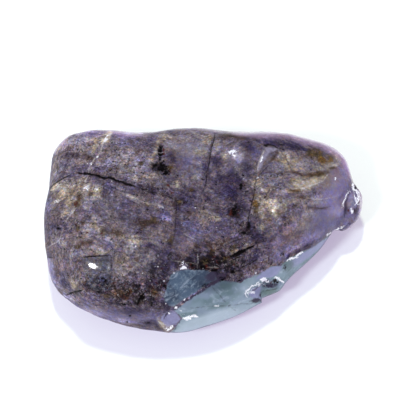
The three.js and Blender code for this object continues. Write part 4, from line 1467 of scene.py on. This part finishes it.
finish = {
    # colours as on a paint card, 0 to 255
    "ground": (91, 82, 92),
    "stoneGrey": (109, 100, 104),
    "greyPurple": (84, 75, 93),
    "lavender": (102, 96, 122),
    "lilac": (122, 112, 142),
    "lavenderPale": (136, 129, 156),
    "violet": (84, 68, 124),
    "mauve": (117, 101, 116),
    "lightGrey": (124, 117, 122),
    "tan": (137, 127, 113),
    "cream": (172, 162, 147),
    "brown": (66, 50, 42),
    "slate": (56, 48, 66),
    "night": (32, 25, 30),
    "indigo": (48, 39, 64),
    "quad": (70, 73, 82),
    "olive": (70, 57, 33),
    "orange": (106, 80, 36),
    "sugar": (164, 158, 160),
    "rust": (76, 26, 16),
    "black": (6, 4, 5),
    # painted reflection and painted highlight of the bright room along the far rim
    "rimReflection": (170, 145, 172),
    "rimHighlight": (228, 212, 227),
    "white": (246, 246, 248),
    "vein": (178, 168, 156),
    "beryl": (124, 142, 152),
    "berylGreen": (96, 116, 120),
    "berylBlue": (130, 142, 162),
    "berylPale": (176, 189, 199),
    "teal": (77, 94, 112),
    "tealDeep": (54, 64, 80),
    "facet": (141, 141, 174),
    "greyGreen": (84, 104, 98),
    "flake": (146, 140, 157),
    "warm": (1.13, 1.03, 0.83),  # how a warm patch multiplies the colour
    "cool": (0.93, 0.95, 1.13),
    "fleckWarm": (1.18, 1.03, 0.76),  # and a fine fleck
    "fleckCool": (0.89, 0.94, 1.19),
    "rosy": (1.11, 0.905, 1.05),
    "leafy": (0.915, 1.075, 0.94),
    "grit": 0.9,
    "contrast": 4.8,  # doublings of light for each whole step of tone
    "roughness": 0.42,
    "specular": 0.02,
    "coat": 0.06,
    "coatRoughness": 0.09,
    "bumpDistance": 0.00005,  # metres
    "bumpStrength": 0.55,
}
clouds = {  # soft noise through the stone: shift in mm, scale, detail, roughness and stir
    "broad": ((0, 0, 0), 0.32, 2.0, 0.5, 0.0),
    "middle": ((7, 3, 1), 0.85, 2.0, 0.5, 0.6),
    "small": ((2, 9, 4), 2.0, 2.0, 0.6, 0.5),
    "fine": ((5, 1, 8), 4.6, 3.0, 0.7, 0.0),
    "warmth": ((11, 5, 3), 0.6, 3.0, 0.55, 0.8),
    "warmthFine": ((3, 8, 12), 1.9, 2.0, 0.6, 0.0),
    "hueFleck": ((9, 9, 2), 4.4, 2.0, 0.6, 0.0),
    "warmFleck": ((6, 1, 15), 3.6, 2.0, 0.6, 0.0),
    "crumble": ((1, 13, 6), 2.6, 4.0, 0.7, 0.3),
    "crumbleFine": ((4, 2, 17), 6.0, 3.0, 0.7, 0.0),
    "specks": ((5, 9, 2), 3.4, 2.0, 0.5, 0.6),
    "net": ((14, 2, 7), 0.75, 3.0, 0.6, 1.4),
    "web": ((2, 15, 3), 1.0, 3.0, 0.6, 1.2),
    "haze": ((6, 6, 6), 0.3, 2.0, 0.5, 0.4),
    "cloudy": ((9, 4, 2), 0.7, 2.0, 0.5, 0.3),
}
strands = {  # noise drawn out along the grain: its turn on the left and right in degrees, and scale
    "grain": (19.0, -30.0, 1.5),
    "thread": (21.0, -27.0, 3.8),
}
strandStretch = (0.26, 1.0, 0.8)
strandNoise = (4.0, 0.6, 0.4)  # detail, roughness and stir
tealStrands = (-42.0, 2.4)
cellStir = (2.4, 1.1)  # scale and reach of the noise that pushes the cells about
grainCells = {  # how far they are moved in mm, and scale
    "grit": ((0, 0, 0), 5.2),
    "mica": ((3, 3, 3), 2.7),
    "sugar": ((8, 1, 5), 3.4),
}
toneShares = {  # how much each noise lightens and darkens the stone
    "broad": 0.3,
    "middle": 0.5,
    "small": 0.8,
    "fine": 1.05,
    "grain": 0.4,
    "thread": 0.5,
    "grit": 0.12,
}
amounts = {  # how strong each part of the finish is
    "shade": 0.27,
    "mostGain": 3.0,
    "warmthFine": 0.9,
    "hueMiddle": 0.45,
    "hueSmall": 0.55,
    "micaFlake": 0.8,
    "speck": 0.85,
    "micaCloud": 0.75,
    "micaCloudMark": 0.22,
    "brownPick": 0.84,  # cells whose number is over this are brown
    "sugarPick": 0.86,
    "greyGreen": 0.8,
    "rust": 0.9,
    "slate": 0.88,
    "berylEdge": 0.75,
    "shadedEdge": 0.45,
    # how strongly the painted rim reflection lightens and tints the colour
    "rimReflectionPaint": 0.45,
    "rimReflectionGain": 1.9,
    "stain": 0.6,
    "slateLine": 0.9,
    "crackTint": 0.4,
    "crackOnBeryl": 0.45,
    "glint": 0.85,
    "bits": 0.5,
}
breakUp = {  # how far noise moves each edge in and out
    "flake": 3.6,
    "beryl": 3.2,
    "teal": 4.0,
    "facet": 2.6,
    "glint": 2.0,
    "line": 1.7,
    "lineFine": 1.8,
    "jags": 1.4,
    "greyGreen": 0.8,
    "slate": 1.3,
}
lineEdges = {  # how soft a line's edge is, and what share of its width it reaches to each side
    "foot": (0.8, 0.5),
    "stain": (0.8, 0.4),
    "slate": (0.7, 0.45),
    "vein": (0.6, 0.3),
    "crackTint": (1.6, 0.5),
    "crack": (0.5, None),  # noise sets its share
    "white": (0.4, 0.36),
}
spans = {  # how a value is read: where it starts and ends, then what it gives at each, if not 0 and 1
    "warm": (0.5, 0.68),
    "cool": (0.5, 0.32),
    "leafy": (0.5, 0.62, 0.0, 0.36),
    "rosy": (0.5, 0.38, 0.0, 0.36),
    "fleckOver": (0.5, 0.66),
    "fleckUnder": (0.5, 0.34),
    "fleckCalm": (0.7, 0.1, 0.4, 1.0),
    "micaNeed": (-0.4, 1.1, 1.0, 0.5),
    "micaFlake": (0.6, 0.25),
    "brownFlake": (0.6, 0.3),
    "brownMica": (0.1, 1.0, 0.1, 0.6),
    "micaCloud": (0.6, 0.76),
    "micaCloudMica": (0.1, 0.9),
    "speckNeed": (-0.5, 1.1, 0.78, 0.62),
    "speck": (0.0, 0.035),
    "hair": (0.016, 0.003),
    "hairPlace": (0.42, 0.58),
    "hairMica": (-0.4, 0.6, 0.25, 0.7),
    "web": (0.018, 0.002),
    "webPlace": (0.48, 0.66),
    "webCalm": (0.5, -0.3, 0.1, 0.5),
    "sugar": (0.5, 0.1),
    "sugarCalm": (0.5, -0.5, 0.1, 0.5),
    "flake": (-0.3, 1.7),
    "flakeSmall": (0.3, 0.7, 0.45, 0.9),
    "beryl": (-0.5, 0.9),
    "berylGreen": (0.35, 0.65),
    "berylBlue": (0.4, 0.7, 0.0, 0.6),
    "berylPale": (0.5, 0.75, 0.0, 0.5),
    "berylDark": (0.0, -0.8, 0.0, 0.6),
    "berylLight": (0.0, 0.8, 0.0, 0.75),
    "teal": (-6.0, 0.5),
    "tealDeep": (0.35, 0.65),
    "tealBeryl": (0.45, 0.72, 0.0, 0.6),
    "tealStrand": (0.5, 0.72, 0.0, 0.5),
    "facet": (-0.8, 1.6),
    "facetCrumble": (0.3, 0.7, 0.65, 0.95),
    "greyGreen": (0.2, 0.9),
    "rust": (0.34, 0.62),
    "slate": (0.25, 0.85),
    "dark": (0.3, 0.7),
    "pale": (0.36, 0.5),
    "patchCrumble": (0.3, 0.62, 0.25, 1.0),
    "patchLit": (0.04, 0.25),
    "rimReflection": (0.12, 0.6, 0.0, 0.75),
    "rimHighlight": (0.5, 1.3, 0.0, 0.55),
    "rimCrumble": (0.3, 0.62, 0.45, 1.0),
    "lineWidth": (0.0, 0.5),
    "veinCrumble": (0.36, 0.6, 0.15, 1.0),
    "veinWidth": (0.4, 2.4, 0.35, 0.95),
    "veinWhite": (0.45, 0.6, 0.0, 0.5),
    "crackTint": (0.45, 0.6),
    "crackShare": (0.36, 0.64, 0.26, 0.54),
    "crackWidth": (0.5, 2.0, 0.5, 1.0),
    "crackCrumble": (0.25, 0.5, 0.7, 1.0),
    "whiteCrumble": (0.34, 0.5, 0.25, 1.0),
    "glint": (0.0, 0.7),
    "polish": (0.6, 1.2, 1.0, 0.2),
    "polishCoat": (0.75, 1.1),
    "skimCoat": (0.05, 0.9),
    "polishBump": (0.1, 0.6, 1.0, 0.06),
}
gloss = {
    "small": 0.25,  # how far noise swings the roughness
    "calm": 0.14,  # and how much smoother each of these is
    "beryl": 0.16,
    "mica": 0.15,
    "least": 0.07,
    "polished": 1.0,  # the coat where the stone is polished
}
bumps = {"fine": 0.8, "grit": 0.35, "mica": 0.3, "crack": 1.2, "lessOnBeryl": 0.75}


def paint(name):
    # one of the finish's colours as linear light
    def linear(card):
        share = card / 255
        return share / 12.92 if share <= 0.04045 else ((share + 0.055) / 1.055) ** 2.4

    return (*[linear(card) for card in finish[name]], 1.0)


class Recipe:
    # short ways to add the nodes of one material
    def __init__(self, name):
        self.material = bpy.data.materials.new(name)
        self.material.use_nodes = True
        self.tree = self.material.node_tree
        self.shader = self.tree.nodes["Principled BSDF"]

    def feed(self, socket, value):
        if isinstance(value, bpy.types.NodeSocket):
            self.tree.links.new(value, socket)
        else:
            socket.default_value = value

    def node(self, kind, **settings):
        made = self.tree.nodes.new("ShaderNode" + kind)
        for name, value in settings.items():
            setattr(made, name, value)
        return made

    def calc(self, operation, a, b=0.0):
        made = self.node("Math", operation=operation)
        self.feed(made.inputs[0], a)
        self.feed(made.inputs[1], b)
        return made.outputs[0]

    def both(self, *values):
        # the values multiplied together
        product = values[0]
        for value in values[1:]:
            product = self.calc("MULTIPLY", product, value)
        return product

    def swing(self, noise, share):
        # noise as a number above and below 0
        return self.both(self.calc("SUBTRACT", noise, 0.5), share)

    def moved(self, place, by):
        made = self.node("VectorMath", operation="ADD")
        self.feed(made.inputs[0], place)
        made.inputs[1].default_value = by
        return made.outputs[0]

    def scaled(self, colour, by):
        made = self.node("VectorMath", operation="SCALE")
        self.feed(made.inputs[0], colour)
        self.feed(made.inputs["Scale"], by)
        return made.outputs[0]

    def rise(self, value, low, high, start=0.0, end=1.0):
        made = self.node("MapRange", interpolation_type="SMOOTHSTEP")
        for index, given in enumerate((value, low, high, start, end)):
            self.feed(made.inputs[index], given)
        return made.outputs["Result"]

    def span(self, value, name):
        return self.rise(value, *spans[name])

    def mark(self, name):
        return self.node("Attribute", attribute_name=name).outputs["Fac"]

    def markSpan(self, mark, name):
        return self.span(self.mark(mark), name)

    def moreOf(self, mark, noise, share):
        # a mark whose edge is moved in and out by noise
        return self.calc("ADD", self.mark(mark), self.swing(noise, share))

    def mix(self, amount, under, over, how="MIX"):
        made = self.node("Mix", data_type="RGBA", blend_type=how, clamp_factor=True)
        for index, given in ((0, amount), (6, under), (7, over)):
            self.feed(made.inputs[index], given)
        return made.outputs[2]

    def lay(self, under, name, *masks):
        # one of the finish's colours laid over another, as far as all the masks let it
        return self.mix(self.both(*masks), under, paint(name))

    def times(self, under, name):
        return self.mix(1.0, under, (*finish[name], 1), "MULTIPLY")

    def tint(self, under, name, *masks):
        return self.mix(self.both(*masks), under, self.times(under, name))

    def blend(self, amount, under, over):
        made = self.node("Mix", data_type="FLOAT")
        for index, given in ((0, amount), (2, under), (3, over)):
            self.feed(made.inputs[index], given)
        return made.outputs[0]

    def cloud(self, place, *settings):
        made = self.node("TexNoise")
        self.feed(made.inputs["Vector"], place)
        for name, number in zip(("Scale", "Detail", "Roughness", "Distortion"), settings):
            made.inputs[name].default_value = number
        return made.outputs[0]

    def stirred(self, place, scale, reach):
        # the place pushed about by noise, so that cells laid on it lose their even look
        stir = self.node("TexNoise")
        self.feed(stir.inputs["Vector"], place)
        stir.inputs["Scale"].default_value = scale
        centred = self.node("VectorMath", operation="SUBTRACT")
        self.feed(centred.inputs[0], stir.outputs["Color"])
        centred.inputs[1].default_value = (0.5, 0.5, 0.5)
        swirl = self.node("VectorMath", operation="MULTIPLY_ADD")
        self.feed(swirl.inputs[0], centred.outputs[0])
        swirl.inputs[1].default_value = (reach, reach, reach)
        self.feed(swirl.inputs[2], place)
        return swirl.outputs[0]

    def cells(self, place, name):
        # three numbers from 0 to 1 that stay the same across each cell, and how far its middle is
        by, scale = grainCells[name]
        made = self.node("TexVoronoi")
        self.feed(made.inputs["Vector"], self.moved(place, by))
        made.inputs["Scale"].default_value = scale
        split = self.node("SeparateColor")
        self.feed(split.inputs[0], made.outputs["Color"])
        return split.outputs, made.outputs["Distance"]

    def drawn(self, place, turn, scale):
        # noise drawn out along one direction of the table plane
        turned = self.node("VectorRotate", rotation_type="Z_AXIS")
        self.feed(turned.inputs["Vector"], place)
        turned.inputs["Angle"].default_value = math.radians(turn)
        stretched = self.node("VectorMath", operation="MULTIPLY")
        self.feed(stretched.inputs[0], turned.outputs[0])
        stretched.inputs[1].default_value = strandStretch
        return self.cloud(stretched.outputs[0], scale, *strandNoise)

    def patchy(self, name, noise):
        # a patch that noise breaks into bits, all the way to its middle
        return self.span(self.both(self.mark(name), self.span(noise, "patchCrumble")), name)

    def frayed(self, name, noise):
        # a patch whose edge is broken up by noise
        field = self.mark(name)
        lit = self.both(self.span(field, "patchLit"), self.swing(noise, breakUp[name]))
        return self.span(self.calc("ADD", field, lit), name)

    def line(self, name, wobble, edge, share=None):
        # 1 on a charted line and 0 off it
        soft, usual = lineEdges[edge]
        side = self.calc("ABSOLUTE", self.calc("ADD", self.mark(name + "Side"), wobble))
        width = self.mark(name + "Width")
        past = self.calc("SUBTRACT", side, self.both(width, usual if share is None else share))
        return self.both(self.rise(past, soft, -soft), self.span(width, "lineWidth"))

    def thin(self, noise, name):
        # thin lines where noise passes its middle
        return self.span(self.calc("ABSOLUTE", self.calc("SUBTRACT", noise, 0.5)), name)


def addGround(r, place, noise):
    # groundmass: noise of several sizes, drawn out along the grain of the schist
    tone = 0.0
    for name, share in toneShares.items():
        tone = r.calc("ADD", tone, r.swing(noise[name], share))
    grit = r.calc("SUBTRACT", finish["grit"], r.both(r.mark("calm"), finish["grit"]))
    tone = r.calc("ADD", r.both(tone, grit), r.both(r.mark("shade"), amounts["shade"]))
    gain = r.calc("POWER", 2.0, r.both(tone, finish["contrast"]))
    wash = r.node("Attribute", attribute_name="wash").outputs["Color"]
    colour = r.scaled(wash, r.calc("MINIMUM", gain, amounts["mostGain"]))
    for name in ("warm", "cool"):
        colour = r.tint(colour, name, r.span(noise["warmth"], name))
    # paler stone is a little greener, darker stone a little rosier
    hue = r.both(noise["middle"], amounts["hueMiddle"])
    hue = r.calc("ADD", hue, r.both(noise["small"], amounts["hueSmall"]))
    for name in ("leafy", "rosy"):
        colour = r.tint(colour, name, r.span(hue, name))
    flecked = r.markSpan("calm", "fleckCalm")
    for name, over, under in (("hueFleck", "rosy", "leafy"), ("warmFleck", "fleckWarm", "fleckCool")):
        colour = r.tint(colour, over, r.span(noise[name], "fleckOver"), flecked)
        colour = r.tint(colour, under, r.span(noise[name], "fleckUnder"), flecked)
    return colour


def addGrains(r, colour, noise, mica, sugar):
    # dark flakes of mica, thick where the mica mark is strong
    micaPick, micaDistance = mica
    busy = r.calc("SUBTRACT", r.mark("mica"), r.calc("MAXIMUM", r.mark("calm"), 0.0))
    flakes = r.calc("GREATER_THAN", micaPick[0], r.span(busy, "micaNeed"))
    flakes = r.both(flakes, r.span(micaDistance, "micaFlake"))
    colour = r.lay(colour, "black", flakes, amounts["micaFlake"])
    speck = r.span(r.calc("SUBTRACT", noise["specks"], r.span(busy, "speckNeed")), "speck")
    colour = r.lay(colour, "black", speck, amounts["speck"])
    # fine cracks and pale threads wander through the stone
    hairs = r.both(r.thin(noise["net"], "hair"), r.span(noise["middle"], "hairPlace"))
    colour = r.lay(colour, "brown", hairs, r.span(busy, "hairMica"))
    threads = r.both(r.thin(noise["web"], "web"), r.span(noise["warmth"], "webPlace"))
    colour = r.lay(colour, "sugar", threads, r.markSpan("calm", "webCalm"))
    thick = r.calc("ADD", noise["crumble"], r.both(r.mark("mica"), amounts["micaCloudMark"]))
    thick = r.both(r.span(thick, "micaCloud"), r.markSpan("mica", "micaCloudMica"))
    colour = r.lay(colour, "black", thick, amounts["micaCloud"])
    brown = r.calc("GREATER_THAN", micaPick[1], amounts["brownPick"])
    brown = r.both(brown, r.span(micaDistance, "brownFlake"))
    colour = r.lay(colour, "rust", brown, r.markSpan("mica", "brownMica"))
    # pale sugary grains
    sugarPick, sugarDistance = sugar
    grains = r.calc("GREATER_THAN", sugarPick[0], amounts["sugarPick"])
    grains = r.both(grains, r.span(sugarDistance, "sugar"))
    colour = r.lay(colour, "sugar", grains, r.markSpan("calm", "sugarCalm"))
    flake = r.span(r.moreOf("flake", noise["crumble"], breakUp["flake"]), "flake")
    return r.lay(colour, "flake", flake, r.span(noise["small"], "flakeSmall")), flakes


def addBeryl(r, colour, place, noise):
    crumble = noise["crumble"]
    beryl = r.span(r.moreOf("beryl", crumble, breakUp["beryl"]), "beryl")
    tone = r.mix(r.span(noise["haze"], "berylGreen"), paint("berylGreen"), paint("beryl"))
    tone = r.lay(tone, "berylBlue", r.span(noise["cloudy"], "berylBlue"))
    tone = r.lay(tone, "berylPale", r.span(noise["grain"], "berylPale"))
    teal = r.span(r.moreOf("teal", crumble, breakUp["teal"]), "teal")
    tealTone = r.mix(r.span(noise["cloudy"], "tealDeep"), paint("tealDeep"), paint("teal"))
    tealTone = r.lay(tealTone, "beryl", r.span(crumble, "tealBeryl"))
    tealTone = r.lay(tealTone, "berylPale", r.span(r.drawn(place, *tealStrands), "tealStrand"))
    tone = r.mix(teal, tone, tealTone)
    tone = r.lay(tone, "tealDeep", r.markSpan("shade", "berylDark"))
    tone = r.lay(tone, "berylPale", r.markSpan("shade", "berylLight"))
    colour = r.mix(beryl, colour, tone)
    facet = r.span(r.moreOf("facet", crumble, breakUp["facet"]), "facet")
    return r.lay(colour, "facet", facet, r.span(crumble, "facetCrumble")), beryl


def addPatches(r, colour, beryl, crumble):
    colour = r.lay(colour, "greyGreen", r.frayed("greyGreen", crumble), amounts["greyGreen"])
    colour = r.lay(colour, "rust", r.patchy("rust", crumble), amounts["rust"])
    colour = r.lay(colour, "slate", r.frayed("slate", crumble), amounts["slate"])
    dark = r.patchy("dark", crumble)
    colour = r.lay(colour, "black", dark)
    # painted shade: grey-purple where the beryl turns away and along its foot, violet along the lower
    # edges
    edge = r.both(r.calc("MAXIMUM", r.mark("edge"), r.line("foot", 0.0, "foot")), beryl)
    colour = r.lay(colour, "greyPurple", edge, amounts["berylEdge"])
    colour = r.lay(colour, "violet", r.mark("shadedEdge"), amounts["shadedEdge"])
    # painted reflection and painted highlight on the far rim, where light skims the edge
    rimReflectionTone = r.lay(r.scaled(r.times(colour, "rosy"), amounts["rimReflectionGain"]), "rimReflection", amounts["rimReflectionPaint"])
    colour = r.mix(r.markSpan("rimReflection", "rimReflection"), colour, rimReflectionTone)
    bright = r.both(r.markSpan("rimReflection", "rimHighlight"), r.span(crumble, "rimCrumble"))
    return r.lay(colour, "rimHighlight", bright), dark


def addLines(r, colour, beryl, noise, pick):
    fine = noise["crumbleFine"]
    wobble = r.swing(noise["crumble"], breakUp["line"])
    wobble = r.calc("ADD", wobble, r.swing(fine, breakUp["lineFine"]))
    jags = r.calc("ADD", wobble, r.swing(pick, breakUp["jags"]))
    colour = r.lay(colour, "brown", r.line("stain", wobble, "stain"), amounts["stain"])
    colour = r.lay(colour, "slate", r.line("slate", jags, "slate"), amounts["slateLine"])
    vein = r.both(r.line("vein", wobble, "vein"), r.span(fine, "veinCrumble"))
    vein = r.both(vein, r.markSpan("veinWidth", "veinWidth"))
    veinTone = r.lay(paint("vein"), "white", r.span(noise["middle"], "veinWhite"))
    colour = r.mix(vein, colour, veinTone)
    tint = r.both(r.line("crack", wobble, "crackTint"), r.span(noise["small"], "crackTint"))
    colour = r.lay(colour, "brown", tint, amounts["crackTint"])
    crack = r.line("crack", wobble, "crack", r.span(noise["small"], "crackShare"))
    strength = r.both(r.markSpan("crackWidth", "crackWidth"), r.span(fine, "crackCrumble"))
    strength = r.both(strength, r.calc("SUBTRACT", 1.0, r.both(beryl, amounts["crackOnBeryl"])))
    colour = r.lay(colour, "black", crack, strength)
    # fresh broken white, partly painted highlights, and painted glints
    colour = r.lay(colour, "white", r.line("white", jags, "white"), r.span(fine, "whiteCrumble"))
    bits = r.calc("ADD", r.both(pick, amounts["bits"]), r.both(fine, amounts["bits"]))
    colour = r.lay(colour, "white", r.patchy("pale", bits))
    glint = r.span(r.moreOf("glint", fine, breakUp["glint"]), "glint")
    return r.lay(colour, "white", glint, amounts["glint"]), crack


def stoneMaterial():
    r = Recipe("emeraldInSchist")
    place = r.scaled(r.node("TexCoord").outputs["Object"], mmPerMetre)
    noise = {name: r.cloud(r.moved(place, by), *given) for name, (by, *given) in clouds.items()}
    for name, (left, right, scale) in strands.items():
        leftGrain, rightGrain = r.drawn(place, left, scale), r.drawn(place, right, scale)
        noise[name] = r.blend(r.mark("rightGrain"), leftGrain, rightGrain)
    warmthSwing = r.swing(noise["warmthFine"], amounts["warmthFine"])
    noise["warmth"] = r.calc("ADD", noise["warmth"], warmthSwing)
    stirred = r.stirred(place, *cellStir)
    gritPick = r.cells(stirred, "grit")[0]
    noise["grit"] = gritPick[0]
    mica = r.cells(stirred, "mica")
    sugar = r.cells(stirred, "sugar")

    colour = addGround(r, place, noise)
    colour, flakes = addGrains(r, colour, noise, mica, sugar)
    colour, beryl = addBeryl(r, colour, place, noise)
    colour, dark = addPatches(r, colour, beryl, noise["crumble"])
    colour, crack = addLines(r, colour, beryl, noise, sugar[0][1])
    r.feed(r.shader.inputs["Base Color"], colour)

    shine = r.calc("ADD", finish["roughness"], r.swing(noise["small"], gloss["small"]))
    for smoother, share in ((r.mark("calm"), "calm"), (beryl, "beryl"), (flakes, "mica")):
        shine = r.calc("SUBTRACT", shine, r.both(smoother, gloss[share]))
    shine = r.both(shine, r.markSpan("gloss", "polish"))
    r.feed(r.shader.inputs["Roughness"], r.calc("MAXIMUM", shine, gloss["least"]))
    coats = (finish["coat"], gloss["polished"])
    coat = r.rise(r.mark("gloss"), *spans["polishCoat"], *coats)
    coat = r.calc("MAXIMUM", coat, r.rise(r.mark("skim"), *spans["skimCoat"], *coats))
    bare = r.calc("MAXIMUM", crack, dark)
    r.feed(r.shader.inputs["Coat Weight"], r.both(coat, r.calc("SUBTRACT", 1.0, bare)))
    r.shader.inputs["Specular IOR Level"].default_value = finish["specular"]
    r.shader.inputs["Coat Roughness"].default_value = finish["coatRoughness"]

    # fine relief
    height = r.calc("ADD", r.both(noise["fine"], bumps["fine"]), r.both(gritPick[1], bumps["grit"]))
    height = r.calc("ADD", height, r.both(mica[0][2], bumps["mica"]))
    height = r.calc("SUBTRACT", height, r.both(crack, bumps["crack"]))
    rough = r.calc("SUBTRACT", 1.0, r.both(beryl, bumps["lessOnBeryl"]))
    rough = r.both(r.markSpan("gloss", "polishBump"), rough)
    bump = r.node("Bump")
    bump.inputs["Distance"].default_value = finish["bumpDistance"]
    bump.inputs["Strength"].default_value = finish["bumpStrength"]
    r.feed(bump.inputs["Height"], r.both(height, rough))
    for socket in ("Normal", "Coat Normal"):
        r.feed(r.shader.inputs[socket], bump.outputs[0])
    return r.material


# Table, lamps and the air round them

table = {
    "halfSize": 1.5,
    "colour": (0.36, 0.445, 0.28),
    "glow": (0.355, 0.27, 0.469),
    "glowStrength": 1.0,
    "roughness": 0.9,
    "specular": 0.2,
}
softLamp = {
    "towards": (-0.055, 0.23, 0.97),  # from the stone to the lamp
    "distance": 0.5,
    "diameter": 0.045,
    "power": 0.46,
    "colour": (0.76, 1.02, 0.92),
}
sparkLamp = {  # only seen as glints in the polish
    "towards": (-0.28, 0.08, 0.955),
    "distance": 0.5,
    "diameter": 0.066,
    "power": 2.3,
    "colour": (1.0, 1.0, 0.98),
}
tableLamp = {  # falls on the table alone, and leaves the darker shadow to the right of the stone
    "towards": (-0.543, -0.66, 1.0),
    "distance": 0.5,
    "diameter": 0.08,
    "power": 3.25,
    "colour": (0.645, 0.61, 0.98),
}
tableTopLamp = {  # brings the rest of the table to white, from the same place as the soft lamp
    "towards": softLamp["towards"],
    "distance": softLamp["distance"],
    "diameter": softLamp["diameter"],
    "power": 2.08,
    "colour": (0.91, 0.85, 1.0),
}
sky = {
    "low": (1.35, 1.29, 1.52),
    "high": (0.735, 0.715, 0.85),
    "from": 0.2,  # height at which the low colour starts to give way
    "to": 0.7,
}


def addTable():
    bpy.ops.mesh.primitive_plane_add(size=2 * table["halfSize"], location=(0, 0, 0))
    floor = bpy.context.object
    floor.name = "table"
    material = bpy.data.materials.new("paleTable")
    material.use_nodes = True
    shader = material.node_tree.nodes["Principled BSDF"]
    shader.inputs["Base Color"].default_value = (*table["colour"], 1)
    shader.inputs["Roughness"].default_value = table["roughness"]
    shader.inputs["Emission Color"].default_value = (*table["glow"], 1)
    shader.inputs["Emission Strength"].default_value = table["glowStrength"]
    shader.inputs["Specular IOR Level"].default_value = table["specular"]
    floor.data.materials.append(material)
    return floor


def addLamp(lamp):
    towards = Vector(lamp["towards"]).normalized()
    place = Vector(viewing["middle"]) + towards * lamp["distance"]
    bpy.ops.object.light_add(type="AREA", location=place)
    light = bpy.context.object
    light.data.shape = "DISK"
    light.data.size = lamp["diameter"]
    light.data.energy = lamp["power"]
    light.data.color = lamp["colour"]
    light.rotation_euler = towards.to_track_quat("Z", "Y").to_euler()
    return light


def addSky():
    world = bpy.data.worlds.new("studio")
    bpy.context.scene.world = world
    world.use_nodes = True
    tree = world.node_tree
    background = tree.nodes["Background"]
    place = tree.nodes.new("ShaderNodeTexCoord")
    split = tree.nodes.new("ShaderNodeSeparateXYZ")
    height = tree.nodes.new("ShaderNodeMapRange")
    height.interpolation_type = "SMOOTHSTEP"
    height.inputs["From Min"].default_value = sky["from"]
    height.inputs["From Max"].default_value = sky["to"]
    blend = tree.nodes.new("ShaderNodeMix")
    blend.data_type = "RGBA"
    blend.inputs["A"].default_value = (*sky["low"], 1)
    blend.inputs["B"].default_value = (*sky["high"], 1)
    tree.links.new(place.outputs["Generated"], split.inputs[0])
    tree.links.new(split.outputs["Z"], height.inputs["Value"])
    tree.links.new(height.outputs["Result"], blend.inputs["Factor"])
    tree.links.new(blend.outputs["Result"], background.inputs["Color"])


addCamera()
floor = addTable()
addLamp(softLamp).visible_glossy = False
addLamp(sparkLamp).visible_diffuse = False
onlyTable = bpy.data.collections.new("tableOnly")
onlyTable.objects.link(floor)
for lamp in (tableLamp, tableTopLamp):
    light = addLamp(lamp)
    light.visible_glossy = False
    light.light_linking.receiver_collection = onlyTable
addSky()
bpy.context.scene.view_settings.view_transform = "Standard"
print("camera, table and light placed")

stone = makeStone()
markStone(stone)
stone.data.materials.append(stoneMaterial())
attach(stone, "root")
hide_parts("emerald_stone")
print("stone finished")
